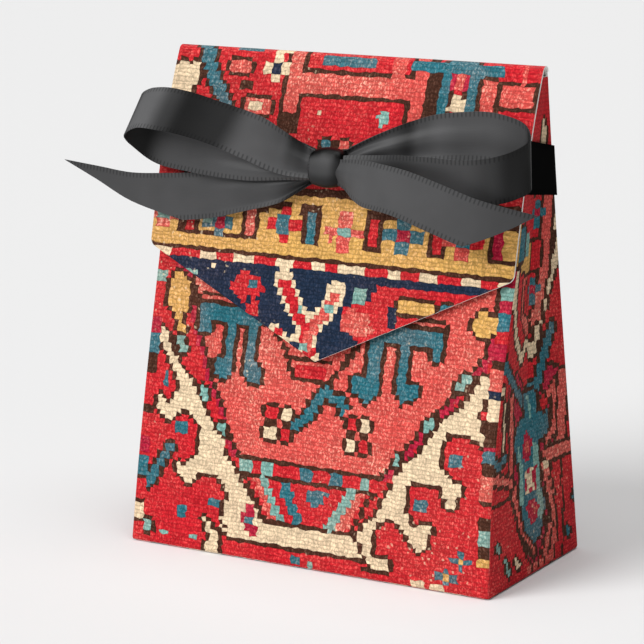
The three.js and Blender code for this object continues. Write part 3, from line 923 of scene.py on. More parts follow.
# %% Printed card: partings and specks
across = off_centre(tree, inside_knot.outputs[0])
up = off_centre(tree, inside_knot.outputs[1])
parting = times(tree, spread(tree, up, 0.22, 0.5, 1, 0.68),
                spread(tree, across, 0.28, 0.5, 1, 0.84))
depth = times(tree, depth, parting)
colour = blended(tree, 1.0, colour, grey(tree, depth), "MULTIPLY")

speck_size = put(tree, "VectorMath", {0: knots, 1: (2.6, 1.9, 1)}, operation="MULTIPLY")
speck_cells = put(tree, "VectorMath", {0: speck_size.outputs[0]}, operation="FLOOR").outputs[0]
fleck = put(tree, "TexWhiteNoise", {0: speck_cells}, noise_dimensions="2D").outputs[0]
rare = 0.982
speck = times(tree, sum_of(tree, "GREATER_THAN", fleck, rare),
              times(tree, spread(tree, wear, 0.5, 0.62, 0.0, 0.8),
                    spread(tree, thin, 0, 1, 0.4, 1)))
colour = blended(tree, speck, colour, srgb("F3D9B6"))
print("one cell in", round(1 / (1 - rare)), "may be a speck")

# %% [markdown]
# ### Folds and finish
#
# The print cracks a little along each fold, and white card shows through. The coating is
# nearly matt, with a grain far finer than a knot.

# %% Printed card: folds and finish
fold_wear = put(tree, "Attribute", attribute_name="fold").outputs["Fac"]
crack = put(tree, "TexNoise", {"Vector": place, "Scale": 900, "Detail": 2}).outputs[0]
bare = times(tree, fold_wear, spread(tree, crack, 0.35, 0.65, 0.0, 0.34))
colour = blended(tree, bare, colour, srgb("F2E6E2"))
tree.links.new(colour, shader.inputs["Base Color"])
tree.links.new(spread(tree, wear, 0.3, 0.7, 0.62, 0.72), shader.inputs["Roughness"])
shader.inputs["Specular IOR Level"].default_value = 0.04
grain = put(tree, "TexNoise", {"Vector": place, "Scale": 2600, "Detail": 2}).outputs[0]
bump = put(tree, "Bump", {"Strength": 0.12, "Distance": 0.02 * MM, "Height": grain})
tree.links.new(bump.outputs[0], shader.inputs["Normal"])
print("printed card has", len(tree.nodes), "nodes")

# %% [markdown]
# ### Bare card
#
# The sheet's back and its cut edges are plain white pulp board, a little cloudy with fibres
# and slightly rough. A flat white would look like plastic, so the fibres are in the colour
# and in a shallow bump.

# %% Bare card
bare_card, tree, shader = new_material("bare_card")
place = put(tree, "TexCoord").outputs["Object"]
pulp = {"Vector": place, "Scale": 1400, "Detail": 4, "Roughness": 0.7}
fibres = put(tree, "TexNoise", pulp).outputs[0]
board = blended(tree, spread(tree, fibres, 0.3, 0.7, 0, 1), srgb("E4E1DB"), srgb("F6F4F0"))
tree.links.new(board, shader.inputs["Base Color"])
shader.inputs["Roughness"].default_value = 0.8
bump = put(tree, "Bump", {"Strength": 0.2, "Distance": 0.02 * MM, "Height": fibres})
tree.links.new(bump.outputs[0], shader.inputs["Normal"])
print("bare card has", len(tree.nodes), "nodes")

# %% [markdown]
# ## Making a sheet of card
#
# Every panel is a thin sheet with a printed face, a bare back and a cut edge between them. A
# Solidify modifier could give a face its thickness, but the flap's slanted edge and the folds
# need each row placed one by one. So the printed face is built knot by knot, the back is a copy
# pushed in by the card's thickness, and the open edges are joined by a strip of bare card.

# %% Sheet builder
chance = np.random.default_rng(7)


def link(name, mesh):
    made = bpy.data.objects.new(name, mesh)
    scene.collection.objects.link(made)
    return made


def strayed(c, r, columns, rows, lowest, loose):
    """Knots aren't square: their corners stray a little, but not on the sheet's edges or folds."""
    free = np.zeros(c.shape)
    free[1:-1, 1:-1] = loose
    if columns.max() > 1:
        free[:, 1:-1] *= (columns[1:-1] > 0) & (columns[1:-1] < 1)
    if lowest is not None:
        free[r <= lowest(c) + 1e-9] = 0
    step_c = np.gradient(columns)[None, :]
    step_r = np.gradient(rows)[:, None]
    return (c + free * step_c * chance.uniform(-1, 1, c.shape),
            r + free * step_r * chance.uniform(-1, 1, c.shape))


def numbered(r, outer, inner):
    """Each different corner once, on the face and on the back, with its place on the grid."""
    keys, points, backs, spots = {}, [], [], []
    number = np.zeros(r.shape, int)
    for j in range(r.shape[0]):
        for i in range(r.shape[1]):
            key = (i, round(r[j, i] / MM * 1000))
            if key not in keys:
                keys[key] = len(points)
                points.append(outer[j, i])
                backs.append(inner[j, i])
                spots.append((i, j))
            number[j, i] = keys[key]
    return number, points, backs, spots


def knot_faces(number):
    """A face for each knot that has any area left, and the edges that only one face has."""
    faces, kept, edges = [], [], {}
    high, wide = number.shape
    for j in range(high - 1):
        for i in range(wide - 1):
            loop = []
            for n in (number[j, i], number[j, i + 1], number[j + 1, i + 1], number[j + 1, i]):
                if n not in loop:
                    loop.append(int(n))
            if len(loop) < 3:
                continue
            faces.append(loop)
            kept.append((i, j))
            for a, b in zip(loop, loop[1:] + loop[:1]):
                if (b, a) in edges:
                    del edges[(b, a)]
                else:
                    edges[(a, b)] = True
    return faces, kept, edges


def in_knot(at, knot):
    """A corner's place on the plan, kept just inside this knot so that it reads its number."""
    hair = 1e-3
    return min(max(at, knot), knot + 1) + (-hair if at > knot else hair)


def sheet_of_card(name, place, columns, rows, yarn_at, lowest=None, loose=0.3, face=printed):
    """Builds a sheet from place(column, row), which gives points and outward directions.
    columns and rows are the values at the grid's lines. Rows under lowest(column) are cut off
    along it."""
    c, r = np.meshgrid(columns, rows)
    if lowest is not None:
        r = np.maximum(r, lowest(c))
    outer, out = place(*strayed(c, r, columns, rows, lowest, loose))
    number, points, backs, spots = numbered(r, outer, outer - out * card)
    faces, kept, edges = knot_faces(number)
    yarn = yarn_at((c[:-1, :-1] + c[1:, 1:]) / 2,
                   (r[:-1, :-1] + r[1:, 1:] + r[:-1, 1:] + r[1:, :-1]) / 4)

    count = len(points)
    back_faces = [[n + count for n in reversed(loop)] for loop in faces]
    rim = [[b, a, a + count, b + count] for a, b in edges]
    bare_count = len(back_faces) + len(rim)
    mesh = bpy.data.meshes.new(name)
    mesh.from_pydata(np.array(points + backs).tolist(), [], faces + back_faces + rim)
    mesh.materials.append(face)
    mesh.materials.append(bare_card)
    mesh.polygons.foreach_set("material_index", [0] * len(faces) + [1] * bare_count)

    face_yarn = [(yarn[j, i] + 0.5) / len(yarn_names) for i, j in kept] + [0.0] * bare_count
    layer = mesh.attributes.new("yarn", "FLOAT", "FACE")
    layer.data.foreach_set("value", np.array(face_yarn, np.float32))
    places = [(in_knot(spots[n][0], i), in_knot(spots[n][1], j))
              for loop, (i, j) in zip(faces, kept) for n in loop]
    places += [(0.5, 0.5)] * (len(mesh.loops) - len(places))
    uv = mesh.uv_layers.new(name="knots")
    uv.data.foreach_set("uv", np.array(places, np.float32).ravel())
    mesh.polygons.foreach_set("use_smooth", [True] * len(mesh.polygons))
    mesh.set_sharp_from_angle(angle=math.radians(42))
    print(name, len(mesh.polygons), "faces")
    return link(name, mesh)


def finished(piece, body, slot, *nodes):
    """Rides the piece on its body and lets it stand for those nodes."""
    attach(piece, body)
    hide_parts(*nodes)
    return piece


def mark_folds(piece, worn_at):
    """Keeps how near each point is to a fold, for the material's wear."""
    mesh = piece.data
    co = np.zeros(len(mesh.vertices) * 3)
    mesh.vertices.foreach_get("co", co)
    layer = mesh.attributes.new("fold", "FLOAT", "POINT")
    layer.data.foreach_set("value", worn_at(co.reshape(-1, 3)).astype(np.float32))


print("card", round(card / MM, 2), "mm thick")

# %% [markdown]
# ### Front, back and gussets
#
# The wrap's six panels all come from one function. Its rows are a knot high, with two closer
# rows where the foot of the bag tucks under, and its columns bend round half of each fold.

# %% The wrap
fold_steps = (-1, -0.66, -0.33)
foot_rows = [base_radius * (1 - math.cos(math.radians(a))) for a in (45, 66)]
front_knots, gusset_knots = 80, 21
ridge_back = ridge_z + ridge_radius * math.sin(lean)


def wrap_panel(name, panel, top, across, plan, plan_at):
    flat = np.linspace(0, 1, across + 1)
    start = () if is_crease(panel) else fold_steps
    stop = () if is_crease(panel + 1) else [1 - step for step in reversed(fold_steps)]
    columns = np.array([*start, *flat, *stop])
    rows = np.append(np.arange(base_radius, top - knot_high / 2, knot_high), top)
    rows = np.concatenate((foot_rows, rows))

    def yarn_at(share, z):
        wide = width_at(panel, z.ravel()).reshape(z.shape)
        far = np.clip(share, 0, 1) * wide
        return plan.at(plan_at(far, wide) / knot_wide, z / knot_high)

    def worn(co):
        near_fold = np.zeros(len(co))
        loop = corners(co[:, 2])
        for k in (panel, panel + 1):
            if not is_crease(k):
                near = np.linalg.norm(co[:, :2] - loop[k % 6], axis=1)
                near_fold = np.maximum(near_fold, np.clip(1.3 - near / (0.3 * MM), 0, 1))
        return near_fold

    piece = sheet_of_card(name, lambda c, r: on_wrap(panel, c, r), columns, rows, yarn_at)
    mark_folds(piece, worn)
    return piece


for name, node, panel, top, across, plan, plan_at in (
        ("front_card", "front_panel", 0, mouth, front_knots, front, lambda far, wide: far),
        ("gusset_right_front_card", "gusset_right_front", 1, gusset_top, gusset_knots, side,
         lambda far, wide: far - wide),
        ("gusset_right_back_card", "gusset_right_back", 2, gusset_top, gusset_knots, side,
         lambda far, wide: far),
        ("back_card", "back_panel", 3, ridge_back, front_knots, back,
         lambda far, wide: wide - far),
        ("gusset_left_back_card", "gusset_left_back", 4, gusset_top, gusset_knots, side,
         lambda far, wide: wide - far),
        ("gusset_left_front_card", "gusset_left_front", 5, gusset_top, gusset_knots, side,
         lambda far, wide: -far)):
    piece = wrap_panel(name, panel, top, across, plan, plan_at)
    finished(piece, "bag", "printed_card", node)

# %% [markdown]
# ### The flap
#
# The flap starts where the back panel ends, rolls over the ridge and springs out a little
# before it hangs. Its V and its round shoulders are cut across the rows of knots, so the
# bottom row of each column is clipped to the edge and the knots there are cut through, as a
# die cuts through print.

# %% Flap
def flap_edge(x):
    near = flap_half - np.abs(x)
    corner = np.clip(shoulder_radius - near, 0, shoulder_radius)
    rounded = shoulder_radius - np.sqrt(np.maximum(0, shoulder_radius ** 2 - corner ** 2))
    return flap_tip + (shoulder - flap_tip) * np.abs(x) / flap_half + rounded


def on_flap(x, z):
    """Under the top of the drop, z is a height. Over it, z runs on round the roll."""
    drop = np.maximum(0, flap_top_z - z)
    angle = np.arctan(slope + stand / flap_ease * np.exp(-drop / flap_ease))
    hang = np.stack((x, -flap_depth(z), z), -1)
    hang_out = np.stack((0 * x, -np.cos(angle), np.sin(angle)), -1)
    turn = roll_end - np.maximum(0, z - flap_top_z) / ridge_radius
    roll_out = np.stack((0 * x, np.cos(turn), np.sin(turn)), -1)
    roll = np.stack((x, 0 * x, 0 * x + ridge_z), -1) + ridge_radius * roll_out
    rolled = (z > flap_top_z)[..., None]
    return np.where(rolled, roll, hang), np.where(rolled, roll_out, hang_out)


def on_ridge(co):
    """A little wear along the very top of the roll."""
    roll_top = 0.5 * MM
    return np.clip((co[:, 2] - bag_height + roll_top) / roll_top, 0, 1) * 0.25


flap_knot = knot_high * 0.98
roll_length = (roll_end - lean) * ridge_radius
drop_rows = np.arange(flap_top_z, flap_tip - knot_high, -flap_knot)[::-1]
rows = np.concatenate((drop_rows, flap_top_z + np.linspace(0, roll_length, 9)[1:]))
turn = np.linspace(0, math.pi / 2, 6)[:-1]
shoulder_columns = flap_half - shoulder_radius * (1 - np.cos(turn))
middle_columns = np.arange(-38, 38.5) * MM
columns = np.concatenate((-shoulder_columns, middle_columns, shoulder_columns[::-1]))
flap_piece = sheet_of_card(
    "closure_flap_card", on_flap, columns, rows,
    lambda x, z: flap.at((x + half_width) / knot_wide, z / knot_high), flap_edge, 0.26)
finished(flap_piece, "flap", "printed_card", "closure_flap")
mark_folds(flap_piece, on_ridge)

# %% [markdown]
# ### Base and inner tabs
#
# Under the bag the base panel folds in from the back and its tab is glued up inside the
# front. The two dust flaps fold in from the gussets and lie on it. None of these shows while
# the bag stands tied, but anyone who opens it or turns it over will find them, so they are
# cut from the same card, with the print on the side that faces out.

# %% Base
fold_gap = 0.3 * MM
bend = base_radius * math.pi / 4
flat = 2 * (half_depth - base_radius)


def on_base(x, turn):
    """turn runs from the front's foot fold, round under the bag, to the back's."""
    lap = np.clip(turn - bend, 0, flat)
    angle = np.where(turn < bend, turn / base_radius - math.pi / 4, 0)
    angle = angle + np.clip(turn - bend - flat, 0, bend) / base_radius
    out = np.stack((0 * x, np.sin(angle), -np.cos(angle)), -1)
    centre = np.stack((x, lap - flat / 2, 0 * x + base_radius), -1)
    return centre + out * base_radius, out


def base_yarn(x, y):
    """Twelve rows of the front's field, over and over."""
    return front.at(41 + x / knot_wide, 24 + 0 * x + (y / knot_wide) % 12)


base_half = half_width - card - 2 * fold_gap
round_front = np.linspace(0, bend, 4)
along_base = bend + np.linspace(0, flat, 42)[1:]
rows = np.concatenate((round_front, along_base, bend + flat + round_front[1:]))
columns = np.linspace(base_half, -base_half, 82)
base = sheet_of_card("base_card", on_base, columns, rows, base_yarn)
finished(base, "bag", "printed_card", "base_panel")

# %% [markdown]
# The tabs and dust flaps are plain on both sides, because nobody prints where the glue goes.
# Each tapers a few millimetres, so that it slips in without catching on its neighbour. The
# dust flaps bow up a little in their middle, as card does when it has been folded once.

# %% Tabs and dust flaps
tab_taper, tab_width, tab_height, dust_length = 4 * MM, 10 * MM, 11 * MM, 16 * MM
glue = 0.05 * MM
dust_bow = 0.8 * MM


def plain_tab(name, node, place, across, up):
    piece = sheet_of_card(name, place, np.linspace(0, 1, across), np.linspace(0, 1, up),
                          lambda u, v: 0 * u.astype(int), loose=0, face=bare_card)
    return finished(piece, "bag", "plain_card", node)


def on_glue_tab(u, v):
    """The base's tab, inside the front panel."""
    half = half_width - tab_taper * (1 + v)
    x = half * (1 - 2 * u)
    z = card + fold_gap + v * tab_height
    y = 2 * card + glue - wall(z) - swell(x, z)
    out = np.stack((0 * x, 0 * x + 1, 0 * x + slope), -1)
    return np.stack((x, y, z), -1), unit(out)


plain_tab("base_glue_tab_card", "base_glue_tab", on_glue_tab, 30, 8)


def on_side_tab(u, v):
    """The seam's tab, inside the back panel."""
    low = tab_taper * (1 + u)
    z = low + v * (mouth - 2 * low)
    x = -half_width + card + fold_gap + pinch / 2 + u * tab_width
    y = wall(z) - 2 * card - glue
    out = np.stack((0 * x, 0 * x - 1, 0 * x - slope), -1)
    return np.stack((x, y, z), -1), unit(out)


plain_tab("side_glue_tab_card", "side_glue_tab", on_side_tab, 8, 40)


def dust_flap(side_sign):
    def place(u, v):
        half = half_depth - 2 * (card + fold_gap) - tab_taper / 2 - u * tab_taper
        x = side_sign * (half_width - card - u * dust_length)
        y = half * (2 * v - 1) * side_sign
        z = card * 2 + fold_gap + dust_bow * np.sin(u * math.pi) ** 2
        return np.stack((x, y, z), -1), np.stack((0 * x, 0 * x, 0 * x + 1), -1)
    return place


plain_tab("dust_flap_right_card", "base_dust_flap_right", lambda u, v: dust_flap(1)(1 - u, v), 12, 24)
plain_tab("dust_flap_left_card", "base_dust_flap_left", lambda u, v: dust_flap(-1)(1 - u, v), 12, 24)

# %% [markdown]
# ## Satin ribbon
#
# Satin is woven so that long floats of yarn lie on the face. They give it a broad soft gloss
# that changes with every bend: grey where the ribbon turns to the light, nearly black where
# it turns away. In even light a rough gloss alone doesn't carry such wide zones. So light and
# shade are painted into the satin's colour: each ribbon's mesh keeps a painted shading for
# every place along it, which the material mixes from nearly black, painted shade, to grey,
# painted light. A narrow woven edge on each side keeps the ribbon from fraying, and shows as a
# row of tiny dark ticks.

# %% Satin
ribbon_width = 9.6 * MM
ribbon_thick = 0.24 * MM
tick_pitch = 0.85
rib_pitch = 0.3
# painted shade and painted light: the two ends of the satin's colour, for a bend in shade and a bend that
# faces the light
satin_in_painted_shade, satin_in_painted_light = srgb("020202"), srgb("585859")

satin, tree, shader = new_material("satin_ribbon")
weave = put(tree, "SeparateXYZ", {0: put(tree, "UVMap", uv_map="weave").outputs[0]})
along, across = weave.outputs[0], weave.outputs[1]
to_far_edge = sum_of(tree, "SUBTRACT", ribbon_width / MM, across)
from_edge = sum_of(tree, "MINIMUM", across, to_far_edge)
selvedge = spread(tree, from_edge, 0.8, 1.15, 1, 0)
tick = sum_of(tree, "SINE", times(tree, along, 2 * math.pi / tick_pitch))
rib = sum_of(tree, "SINE", times(tree, across, 2 * math.pi / rib_pitch))

place = put(tree, "TexCoord").outputs["Object"]
cloud = put(tree, "TexNoise", {"Vector": place, "Scale": 160, "Detail": 2}).outputs[0]
ticked = times(tree, selvedge, spread(tree, tick, 0.0, 0.8, 0.0, 0.45))
shade = times(tree, spread(tree, cloud, 0.3, 0.7, 0.94, 1.06),
              sum_of(tree, "SUBTRACT", 1.0, ticked))
shade = times(tree, shade, spread(tree, rib, -1, 1, 0.97, 1.03))
# painted light and shade: the mesh's painted shading picks the satin's colour between the two
painted_shading = put(tree, "Attribute", attribute_name="painted_shading").outputs["Fac"]
weave_and_painted_shading = blended(tree, painted_shading, satin_in_painted_shade, satin_in_painted_light)
weave_and_painted_shading = blended(tree, 1.0, weave_and_painted_shading, grey(tree, shade), "MULTIPLY")
tree.links.new(weave_and_painted_shading, shader.inputs["Base Color"])

shader.inputs["Roughness"].default_value = 0.42
shader.inputs["Specular IOR Level"].default_value = 0.16
shader.inputs["Anisotropic"].default_value = 0.6
floats_run = put(tree, "Tangent", direction_type="UV_MAP", uv_map="weave").outputs[0]
tree.links.new(floats_run, shader.inputs["Tangent"])
height = sum_of(tree, "ADD", times(tree, times(tree, tick, selvedge), 0.6),
                times(tree, rib, 0.12))
bump = put(tree, "Bump", {"Strength": 0.5, "Distance": 0.03 * MM, "Height": height})
tree.links.new(bump.outputs[0], shader.inputs["Normal"])
print("satin has", len(tree.nodes), "nodes, and a tick every", tick_pitch, "mm")

# %% [markdown]
# The band is pulled flat round the bag, and it is given a shaded copy of the same satin: a
# second material, a copy with no gloss, so that the band looks duller and darker, as in shade.

# %% Shaded copy of the satin
shaded_satin_copy = satin.copy()
shaded_satin_copy.name = "satin_ribbon_shaded_copy"
shaded_copy_shader = shaded_satin_copy.node_tree.nodes["Principled BSDF"]
shaded_copy_shader.inputs["Specular IOR Level"].default_value = 0.0
print("made", shaded_satin_copy.name)

# %% [markdown]
# ### A length of ribbon
#
# A ribbon bends easily along its length and not at all across it, so its path is a smooth
# curve through a few chosen places, with the ribbon's own up direction at each. Cloth
# simulation could drape it, but a tied bow is held by tension that a simulation would have to
# be tuned for. Near the knot the same width has to pass through a narrower gap, so it folds
# into pleats, deeper the more it is gathered.

# %% Smooth curves
def through(points, t):
    """A smooth curve through the points, at each t from 0 to 1.
    Steps are even in the root of the distance, so that it doesn't overshoot near close points."""
    pts = np.array(points, float)
    pts = np.vstack((2 * pts[0] - pts[1], pts, 2 * pts[-1] - pts[-2]))
    last = len(pts) - 3
    spot = np.clip(t * last, 0, last - 1e-9)
    k = np.floor(spot).astype(int)
    w = (spot - k)[:, None]
    p = [pts[k + i] for i in range(4)]
    gap = [np.sqrt(np.linalg.norm(p[i + 1] - p[i], axis=1))[:, None] for i in range(3)]
    middle_gap = np.maximum(gap[1], 1e-6)
    middle_gap = np.where(middle_gap < 1e-3, 1, middle_gap)
    before, _, after = [np.where(g < 1e-3, middle_gap, g) for g in gap]
    first, last_step = (p[1] - p[0]) / before, (p[3] - p[2]) / after
    step = (p[2] - p[1]) / middle_gap
    a = (first - (p[2] - p[0]) / (before + middle_gap) + step) * middle_gap
    b = (step - (p[3] - p[1]) / (middle_gap + after) + last_step) * middle_gap
    rise = p[2] - p[1]
    return p[1] + a * w + (3 * rise - 2 * a - b) * w ** 2 + (a + b - 2 * rise) * w ** 3


def smooth(at, places, values):
    """The values at these places, eased from each to the next."""
    k = np.clip(np.searchsorted(places, at, side="right") - 1, 0, len(places) - 2)
    places, values = np.array(places, float), np.array(values, float)
    w = np.clip((at - places[k]) / (places[k + 1] - places[k]), 0, 1)
    w = w * w * (3 - 2 * w)
    return values[k] + (values[k + 1] - values[k]) * w


print("half way up an eased step:", smooth(np.array([0.5]), (0, 1), (0, 1))[0])

# %% [markdown]
# The ribbon's mesh is a grid with two sides. Each of its points keeps a place in the weave,
# for the ticks and ribs, and a painted shading, which is light and shade painted into the
# satin. A slanted cut makes the lower edge shorter than the upper one, so every step is taken
# a little earlier there.

# %% Ribbon mesh
def in_satin(name, points, faces, weave_at, painted_shading):
    """A satin mesh. weave_at and the painted light and shade have a row for each point, and start again for
    the back.
    """
    mesh = bpy.data.meshes.new(name)
    mesh.from_pydata(points.reshape(-1, 3).tolist(), [], faces)
    mesh.materials.append(satin)
    corner = np.zeros(len(mesh.loops), int)
    mesh.loops.foreach_get("vertex_index", corner)
    weave_at = weave_at.reshape(-1, 2)
    uv = mesh.uv_layers.new(name="weave")
    uv.data.foreach_set("uv", weave_at[corner % len(weave_at)].astype(np.float32).ravel())
    # painted light and shade, kept on each point for the satin's colour
    painted_shading_layer = mesh.attributes.new("painted_shading", "FLOAT", "POINT")
    painted_shading_layer.data.foreach_set("value", np.resize(painted_shading, len(mesh.vertices)).astype(np.float32))
    mesh.polygons.foreach_set("use_smooth", [True] * len(mesh.polygons))
    return link(name, mesh)


def whole(faces):
    return [tuple(int(n) for n in face) for face in faces]


def ribbon_mesh(name, middle, half_up, out, painted_shading_at, across_steps, cut=0.0, pleat=None):
    """A ribbon along middle, with half_up towards its upper edge and out away from its back,
    one of each for every step. The painted shading at (v, t) is how light the satin is painted
    at each place, painted light and shade, and pleat(v, t) pushes it out."""
    count = len(middle)
    v = np.linspace(-1, 1, across_steps + 1)
    steps = np.linalg.norm(np.diff(middle, axis=0), axis=1)
    lengths = np.concatenate(([0], np.cumsum(steps))) / MM
    t = np.arange(count) / (count - 1)
    face = np.zeros((count, len(v), 3))
    along, painted_shading = np.zeros((2, count, len(v)))
    for j, vj in enumerate(v):
        tj = t * (1 - cut * (1 - vj) / 2)
        m, u, o = [np.stack([np.interp(tj, t, values[:, k]) for k in range(3)], -1)
                   for values in (middle, half_up, out)]
        face[:, j] = m + u * vj
        if pleat is not None:
            face[:, j] += unit(o) * pleat(vj, tj)[:, None]
        along[:, j] = np.interp(tj, t, lengths)
        painted_shading[:, j] = painted_shading_at(vj, tj)

    normal = unit(np.cross(np.gradient(face, axis=1), np.gradient(face, axis=0)))
    layers = np.stack((face + normal * ribbon_thick / 2, face - normal * ribbon_thick / 2))
    n = count * len(v)
    index = np.arange(n).reshape(count, len(v))
    quads = np.stack((index[:-1, :-1], index[1:, :-1], index[1:, 1:], index[:-1, 1:]), -1)
    quads = quads.reshape(-1, 4)
    border = [*index[:, 0], *index[-1, 1:], *index[-2::-1, -1], *index[0, -2:0:-1]]
    rim = [(a, b, b + n, a + n) for a, b in zip(border, border[1:] + border[:1])]
    faces = whole([q[::-1] for q in quads] + [q + n for q in quads] + rim)
    across = np.broadcast_to((v + 1) / 2 * ribbon_width / MM, along.shape)
    made = in_satin(name, layers, faces, np.stack((along, across), -1), painted_shading)
    made.data.set_sharp_from_angle(angle=math.radians(60))
    print(name, round(float(lengths[-1])), "mm long")
    return made


def strip(name, stations, painted_shading_stops, steps, cut, folds, deepest):
    """A length of the bow, through its stations. Each one has where the ribbon's middle is
    from the knot's middle, which way its upper edge lies, and the share of its width that it
    is gathered to. The painted shading stops each have a station's number, and how light the
    satin is painted there at its lower edge and at its upper edge: painted light and shade."""
    t = np.linspace(0, 1, steps)
    at = through([s[0] for s in stations], t) * MM + np.array(knot_centre)
    upward = [unit(np.array(s[1], float)) * s[2] for s in stations]
    half_up = through(upward, t) * ribbon_width / 2
    out = unit(np.cross(half_up, np.gradient(at, axis=0)))
    gather = np.linalg.norm(half_up, axis=1) / (ribbon_width / 2)
    amount = np.sqrt(np.maximum(0, 1 - np.minimum(gather, 1) ** 2)) * deepest

    def pleat(v, spots):
        return np.interp(spots, t, amount) * math.cos(folds * math.pi * v)

    # painted light and shade, eased from station to station and across the width
    def painted_shading_at(v, spots):
        number = spots * (len(stations) - 1)
        numbers, lows, highs = zip(*painted_shading_stops)
        low, high = smooth(number, numbers, lows), smooth(number, numbers, highs)
        return low + (high - low) * (v + 1) / 2

    return ribbon_mesh(name, at, half_up, out, painted_shading_at, 18, cut, pleat)


print("ribbon", round(ribbon_width / MM, 1), "mm wide")

# %% [markdown]
# ### The band
#
# The band goes round the bag and over the flap. In front it hangs a little lower under the
# bow than at the sides, and its ends are gathered and sink in behind the knot. A closed loop
# would do for the back, but the front has a join to hide, so the band is an open strip that
# starts and ends behind the knot.

# %% Band
knot_low, knot_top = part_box("bow_knot")
knot_centre = (knot_low + knot_top) / 2
knot_half = (knot_top - knot_low) / 2
band_low, band_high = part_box("ribbon_band")
band_middle = (band_low.z + band_high.z) / 2
band_clearance = 0.06 * MM
band_corner = 0.6 * MM
lift_front, drop_back = 1.5 * MM, 0.6 * MM
sink_in, sink_down, sink_reach = 1.2 * MM, 1.3 * MM, 20


def band_route():
    """The band's middle line in plan, from behind the knot round to it again. Each place is
    x, y and the way the band faces there, in degrees."""
    off = band_clearance + ribbon_thick / 2
    x = half_width + off
    front_y = -(float(flap_depth(band_middle)) + off)
    back_y = float(wall(band_middle)) + off
    hub_x = x - band_corner
    hubs = [(hub_x, front_y + band_corner, -90), (hub_x, back_y - band_corner, 0),
            (-hub_x, back_y - band_corner, 90), (-hub_x, front_y + band_corner, 180)]
    from_knot = (0.6, 2, 4, 6, 8, 11, 20, 30)
    route = [(knot_centre.x + s * MM, front_y, -90.0) for s in from_knot]
    for corner_x, corner_y, start in hubs:
        for turn in range(start, start + 91, 15):
            angle = math.radians(turn)
            route.append((corner_x + band_corner * math.cos(angle),
                          corner_y + band_corner * math.sin(angle), turn))
        if start == 0:
            route += [(s * MM, back_y, 90.0) for s in (30, 20, 10, 0, -10, -20, -30)]
    to_end = (-30, -20, -11, -8, -6, -4, -2, -0.6)
    route += [(knot_centre.x + s * MM, front_y, 270.0) for s in to_end]
    return np.array(route), front_y, back_y


route, front_y, back_y = band_route()
route_x, route_y, route_turn = route.T
in_front = route_y < 0
print("band: front", round(front_y / MM, 1), "and back", round(back_y / MM, 1), "mm from the ridge")

# %% [markdown]
# Three things change along the route: how high the band's middle is, how far it leans with
# the card behind it, and how much it is gathered. Its painted shading goes from grey in front
# to nearly black at the right side, which is in shade, and comes back to grey round the back
# and the left: light and shade painted into the satin's colour.

# %% Band: its shape and painted shading
near_knot = np.abs(route_x - knot_centre.x) / MM
to_knot = np.where(in_front, np.clip(1 - near_knot / sink_reach, 0, 1) ** 1.2, 0)
share = np.clip(np.where(in_front, route_y / front_y, route_y / back_y), 0, 1)
lift = np.interp(route_y, (front_y, back_y), (lift_front, -drop_back))
across_front = route_y < front_y + 0.1 * MM
lift = np.where(across_front, lift * np.abs(route_x) / half_width, lift)
middle = np.stack((route_x, route_y - to_knot * sink_in,
                   band_middle + lift - to_knot * sink_down), -1)
flap_lean = (float(flap_depth(band_middle + MM)) - float(flap_depth(band_middle))) / MM
tilt = np.where(in_front, -flap_lean * share, -slope * share)
gathered = 1.03 - 0.7 * to_knot
half_up = np.stack((0 * tilt, tilt, 0 * tilt + 1), -1) * (ribbon_width / 2 * gathered)[:, None]
facing = np.radians(route_turn)
out = np.stack((np.cos(facing), np.sin(facing), 0 * facing), -1)
# painted shade: nearly black where the band faces right, grey where it faces the front
band_painted_shading = np.interp(route_turn, (-90, -60, 0, 60, 90, 120, 240, 270),
                      (0.55, 0.2, 0.04, 0.2, 0.3, 0.4, 0.5, 0.55))
evenly = np.linspace(0, 1, len(route))
band = ribbon_mesh("ribbon_band_satin", middle, half_up, out,
                   lambda v, t: np.interp(t, evenly, band_painted_shading), 10)
# the band wears the shaded copy of the satin, with no gloss
band.data.materials[0] = shaded_satin_copy
finished(band, "ribbon", "satin_ribbon", "ribbon_band")

# %% [markdown]
# ### The bow's loops
#
# Each loop leaves the knot, turns back on itself and comes in again behind. Its stations are
# places from the knot's middle in millimetres, an upward direction and a gathering, so a
# loop's lean and twist can be changed one station at a time. The painted light and shade for
# each loop is beside them.

# %% Loops
loop_left = [
    ((-2.6, -1.1, 0.5), (0.1, 0, 1), 0.6),
    ((-4.7, -1.4, 1.0), (0.15, 0, 1), 0.68),
    ((-9.2, -2.4, 2.5), (0.25, 0, 0.95), 0.88),
    ((-14.7, -4.3, 5.3), (0.44, 0, 0.9), 1),
    ((-22.7, -5.7, 7.9), (0.56, 0, 0.82), 1),
    ((-32.5, -5.8, 9.7), (0.48, 0.05, 0.88), 1),
    ((-40.2, -4.3, 9.5), (0.48, 0.05, 0.88), 1),
    ((-44.0, -2.4, 7.3), (0.42, 0.05, 0.9), 1),
    ((-42.7, -0.6, 4.9), (0.33, 0.02, 0.95), 1),
    ((-37.7, -0.9, 2.6), (0.3, 0.05, 0.95), 1),
    ((-28.7, -1, 1.4), (0.3, 0.06, 0.94), 1),
    ((-17.7, -0.9, 0.2), (0.2, 0.06, 0.97), 0.85),
    ((-9.7, -0.5, -0.3), (0.1, 0, 1), 0.6),
    ((-4.7, -0.1, -0.4), (0, 0, 1), 0.5),
    ((-2.6, 0, -0.4), (0, 0, 1), 0.44)]
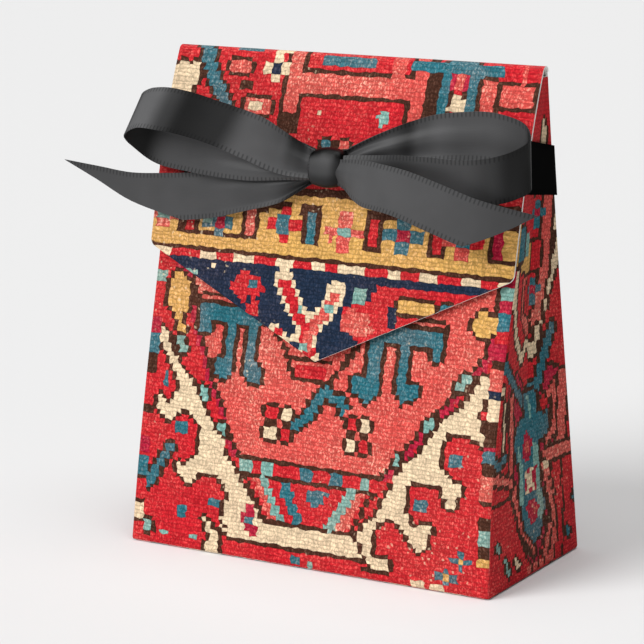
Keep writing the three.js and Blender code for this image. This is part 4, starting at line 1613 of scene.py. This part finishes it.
loop_right = [
    ((2.6, -0.6, 0), (0, -0.05, 1), 0.5),
    ((4.7, -0.8, 0), (0, -0.05, 1), 0.58),
    ((10.3, -1.6, -0.3), (0.03, -0.07, 1), 0.76),
    ((17.3, -3.1, -0.3), (-0.02, -0.12, 0.99), 0.92),
    ((23.9, -4.5, -0.2), (0, -0.17, 0.98), 0.98),
    ((31.5, -5.1, -0.1), (0.08, -0.25, 0.95), 1),
    ((36.8, -4.1, 0.5), (0.06, -0.25, 0.95), 1),
    ((40.9, -1.5, 1.8), (0.05, -0.16, 0.98), 1),
    ((42.7, 1.3, 3.5), (-0.02, -0.05, 1), 1),
    ((40.5, 2.9, 6.1), (0, 0.02, 1), 1),
    ((34.3, 2.3, 8), (0, 0.05, 1), 0.98),
    ((27.8, 1.8, 7.9), (0, 0.05, 1), 0.95),
    ((22.3, 1.4, 7.2), (0, 0.05, 1), 0.92),
    ((16.8, 1, 5.8), (0, 0.05, 1), 0.84),
    ((9.3, 0.8, 3.7), (0, 0, 1), 0.6),
    ((4.7, 0.9, 1.9), (0, 0, 1), 0.5),
    ((2.6, 0.9, 1.0), (0, 0, 1), 0.5)]
# painted light and shade along the loops: a station's number, then how light the satin is painted at its
# lower and upper edges
loop_left_painted_shading = [(0, 0.45, 0.5), (0.7, 0.5, 0.45), (1.2, 0.6, 0.0), (1.6, 0.75, 0.0), (2.1, 0.85, 0.6),
                   (2.7, 0.9, 0.85),
                   (3.2, 0.9, 0.85), (3.8, 0.16, 0.18), (4.7, 0.07, 0.07), (5.1, 0.3, 0.35), (5.7, 1, 0.95),
                   (6.3, 0.95, 0.9), (6.8, 0.3, 0.25), (7.2, 0.0, 0.0), (8.3, 0.0, 0.0), (9.4, 0.6, 0.55),
                   (11, 0.75, 0.7), (12.5, 0.7, 0.6), (14, 0.35, 0.35)]
loop_right_painted_shading = [(0, 0.35, 0.45), (1, 0.5, 0.6), (2, 0.3, 0.6), (3, 0.28, 0.42),
                    (4, 0.58, 0.55), (5, 0.7, 0.6),
                    (6, 0.48, 0.38), (6.8, 0.14, 0.08), (8.2, 0.0, 0.0), (9, 0.5, 0.5), (10, 0.8, 0.75),
                    (11, 0.6, 0.8), (11.8, 0.85, 0.9), (12.5, 0.75, 0.6), (13, 0.35, 0.15), (13.6, 0.7, 0.6),
                    (15, 0.6, 0.55), (16, 0.2, 0.15)]
print("loops through", len(loop_left), "and", len(loop_right), "stations")

# %% [markdown]
# ### The bow's tails
#
# The tails are cut on the slant. The left one lies behind its loop and swings out past it,
# and the right one crosses in front of its own loop.

# %% Tails
tail_left = [
    ((-2.6, 0.8, -1.8), (0, 0, 1), 0.22),
    ((-4.7, 0.7, -2.6), (0, 0, 1), 0.28),
    ((-10.7, 0.4, -4.5), (0.15, 0, 1), 0.72),
    ((-18.7, 0.2, -5.8), (0.03, 0.04, 1), 0.9),
    ((-28.2, 0, -7.7), (-0.1, 0.06, 1), 0.98),
    ((-37.2, -0.2, -8.7), (-0.05, 0.03, 1), 1),
    ((-46.2, -0.5, -9.2), (0, 0.05, 1), 1),
    ((-54.2, -0.5, -8.5), (0.1, 0.03, 1), 1),
    ((-63.4, -0.2, -7.7), (0.2, 0, 1), 1)]
tail_right = [
    ((2.4, -1.6, -0.5), (0, 0, 1), 0.5),
    ((4.7, -2.3, -0.8), (0, 0, 1), 0.62),
    ((7.3, -3.4, -1.3), (0.12, 0, 1), 0.8),
    ((11.9, -5.5, -1.8), (0.3, -0.03, 0.95), 0.97),
    ((19.4, -7.5, -2.5), (0.4, -0.05, 0.91), 1),
    ((27.5, -8.3, -4.6), (0.38, 0, 0.93), 1),
    ((33.9, -7.2, -6.9), (0.36, 0.04, 0.93), 1),
    ((39.3, -4.3, -8.7), (0.3, 0.05, 0.95), 1),
    ((44.2, -0.9, -10.3), (0.22, 0.05, 0.97), 1)]
# painted light and shade along the tails: a station's number, then how light the satin is painted at its
# lower and upper edges
tail_left_painted_shading = [(0, 0.08, 0.15), (1.5, 0.15, 0.35), (2.4, 0.6, 0.65), (5, 0.68, 0.68), (8, 0.55, 0.5)]
tail_right_painted_shading = [(0, 0.2, 0.35), (0.8, 0.45, 0.55), (1.6, 0.65, 0.65), (2.6, 0.72, 0.72), (6, 0.72, 0.72),
                    (8, 0.62, 0.58)]

for name, stations, painted_shading_stops, steps, cut, folds, deepest, node in (
        ("loop_left_satin", loop_left, loop_left_painted_shading, 150, 0, 1.7, 0.45, "bow_loop_left"),
        ("loop_right_satin", loop_right, loop_right_painted_shading, 150, 0, 1.7, 0.45, "bow_loop_right"),
        ("tail_left_satin", tail_left, tail_left_painted_shading, 90, 0.42, 1.7, 0.45, "ribbon_tail_left"),
        ("tail_right_satin", tail_right, tail_right_painted_shading, 80, 0.235, 1.0, -0.4,
         "ribbon_tail_right")):
    piece = strip(name, stations, painted_shading_stops, steps, cut, folds, deepest * MM)
    finished(piece, "ribbon", "satin_ribbon", node)

# %% [markdown]
# ### The knot
#
# The ribbon is wrapped once over the middle of the bow and pulled tight, which leaves a small
# firm cushion, squarer than a ball and drawn in at both ends. A ball could be pressed into
# shape with modifiers, but the same rounded square that gives its section also gives its
# outline along the bow, so both are worked out directly.

# %% Knot
def knot():
    """The ribbon wrapped over itself: a ridged cushion, drawn in at both ends."""
    around, along_steps = 64, 26
    power, ridge_height, lean_over = 3.0, 0.014, 0.06
    weave_round = 24
    s = np.linspace(-1, 1, along_steps + 1)
    a = np.linspace(0, 2 * math.pi, around, endpoint=False)
    grid_s, grid_a = np.meshgrid(s, a, indexing="ij")
    up, front = np.sin(grid_a), np.cos(grid_a)
    girth = np.maximum(0.02, 1 - np.abs(grid_s) ** power) ** (1 / power)
    squared = (np.abs(front) ** power + np.abs(up) ** power) ** (-1 / power)
    size = squared * girth * (1 + ridge_height * np.cos(grid_s * 7 + 0.5 * up))
    z = up * size * knot_half.z
    x = grid_s * knot_half.x + lean_over * z
    points = np.stack((x, front * size * knot_half.y, z), -1) + np.array(knot_centre)

    index = np.arange((along_steps + 1) * around).reshape(along_steps + 1, around)
    nxt = np.roll(index, -1, axis=1)
    sides = np.stack((index[:-1], nxt[:-1], nxt[1:], index[1:]), -1).reshape(-1, 4)
    faces = whole([*sides, index[0][::-1], index[-1]])
    weave_at = np.stack((grid_a / (2 * math.pi) * weave_round,
                         (grid_s + 1) / 2 * ribbon_width / MM), -1)
    # painted light and shade: the knot is painted lightest a little above its middle, dark at its top and
    # bottom and towards its right end
    painted_shading = smooth(grid_s, (-1, -0.6, 0.2, 0.7, 1), (0.5, 0.6, 0.7, 0.2, 0.0))
    painted_shading *= smooth(up, (-1, -0.6, -0.1, 0.4, 0.72, 1), (0.0, 0.22, 0.75, 0.95, 0.0, 0.0))
    return in_satin("knot_satin", points, faces, weave_at, painted_shading)


finished(knot(), "ribbon", "satin_ribbon", "bow_knot")
print("knot", [round(2 * half / MM, 1) for half in knot_half], "mm")

# %% [markdown]
# ## Sizes
#
# The plain model's box and the finished bag's box are kept side by side, and the bag's size
# is printed. The finished bag has to stay inside the plain model's box.

# %% Sizes
size = {"cad": [list(c) for c in cad_box], "visual": [list(c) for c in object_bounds()]}
print("size", [round((high - low) / MM, 1) for low, high in zip(*size["visual"])], "mm")
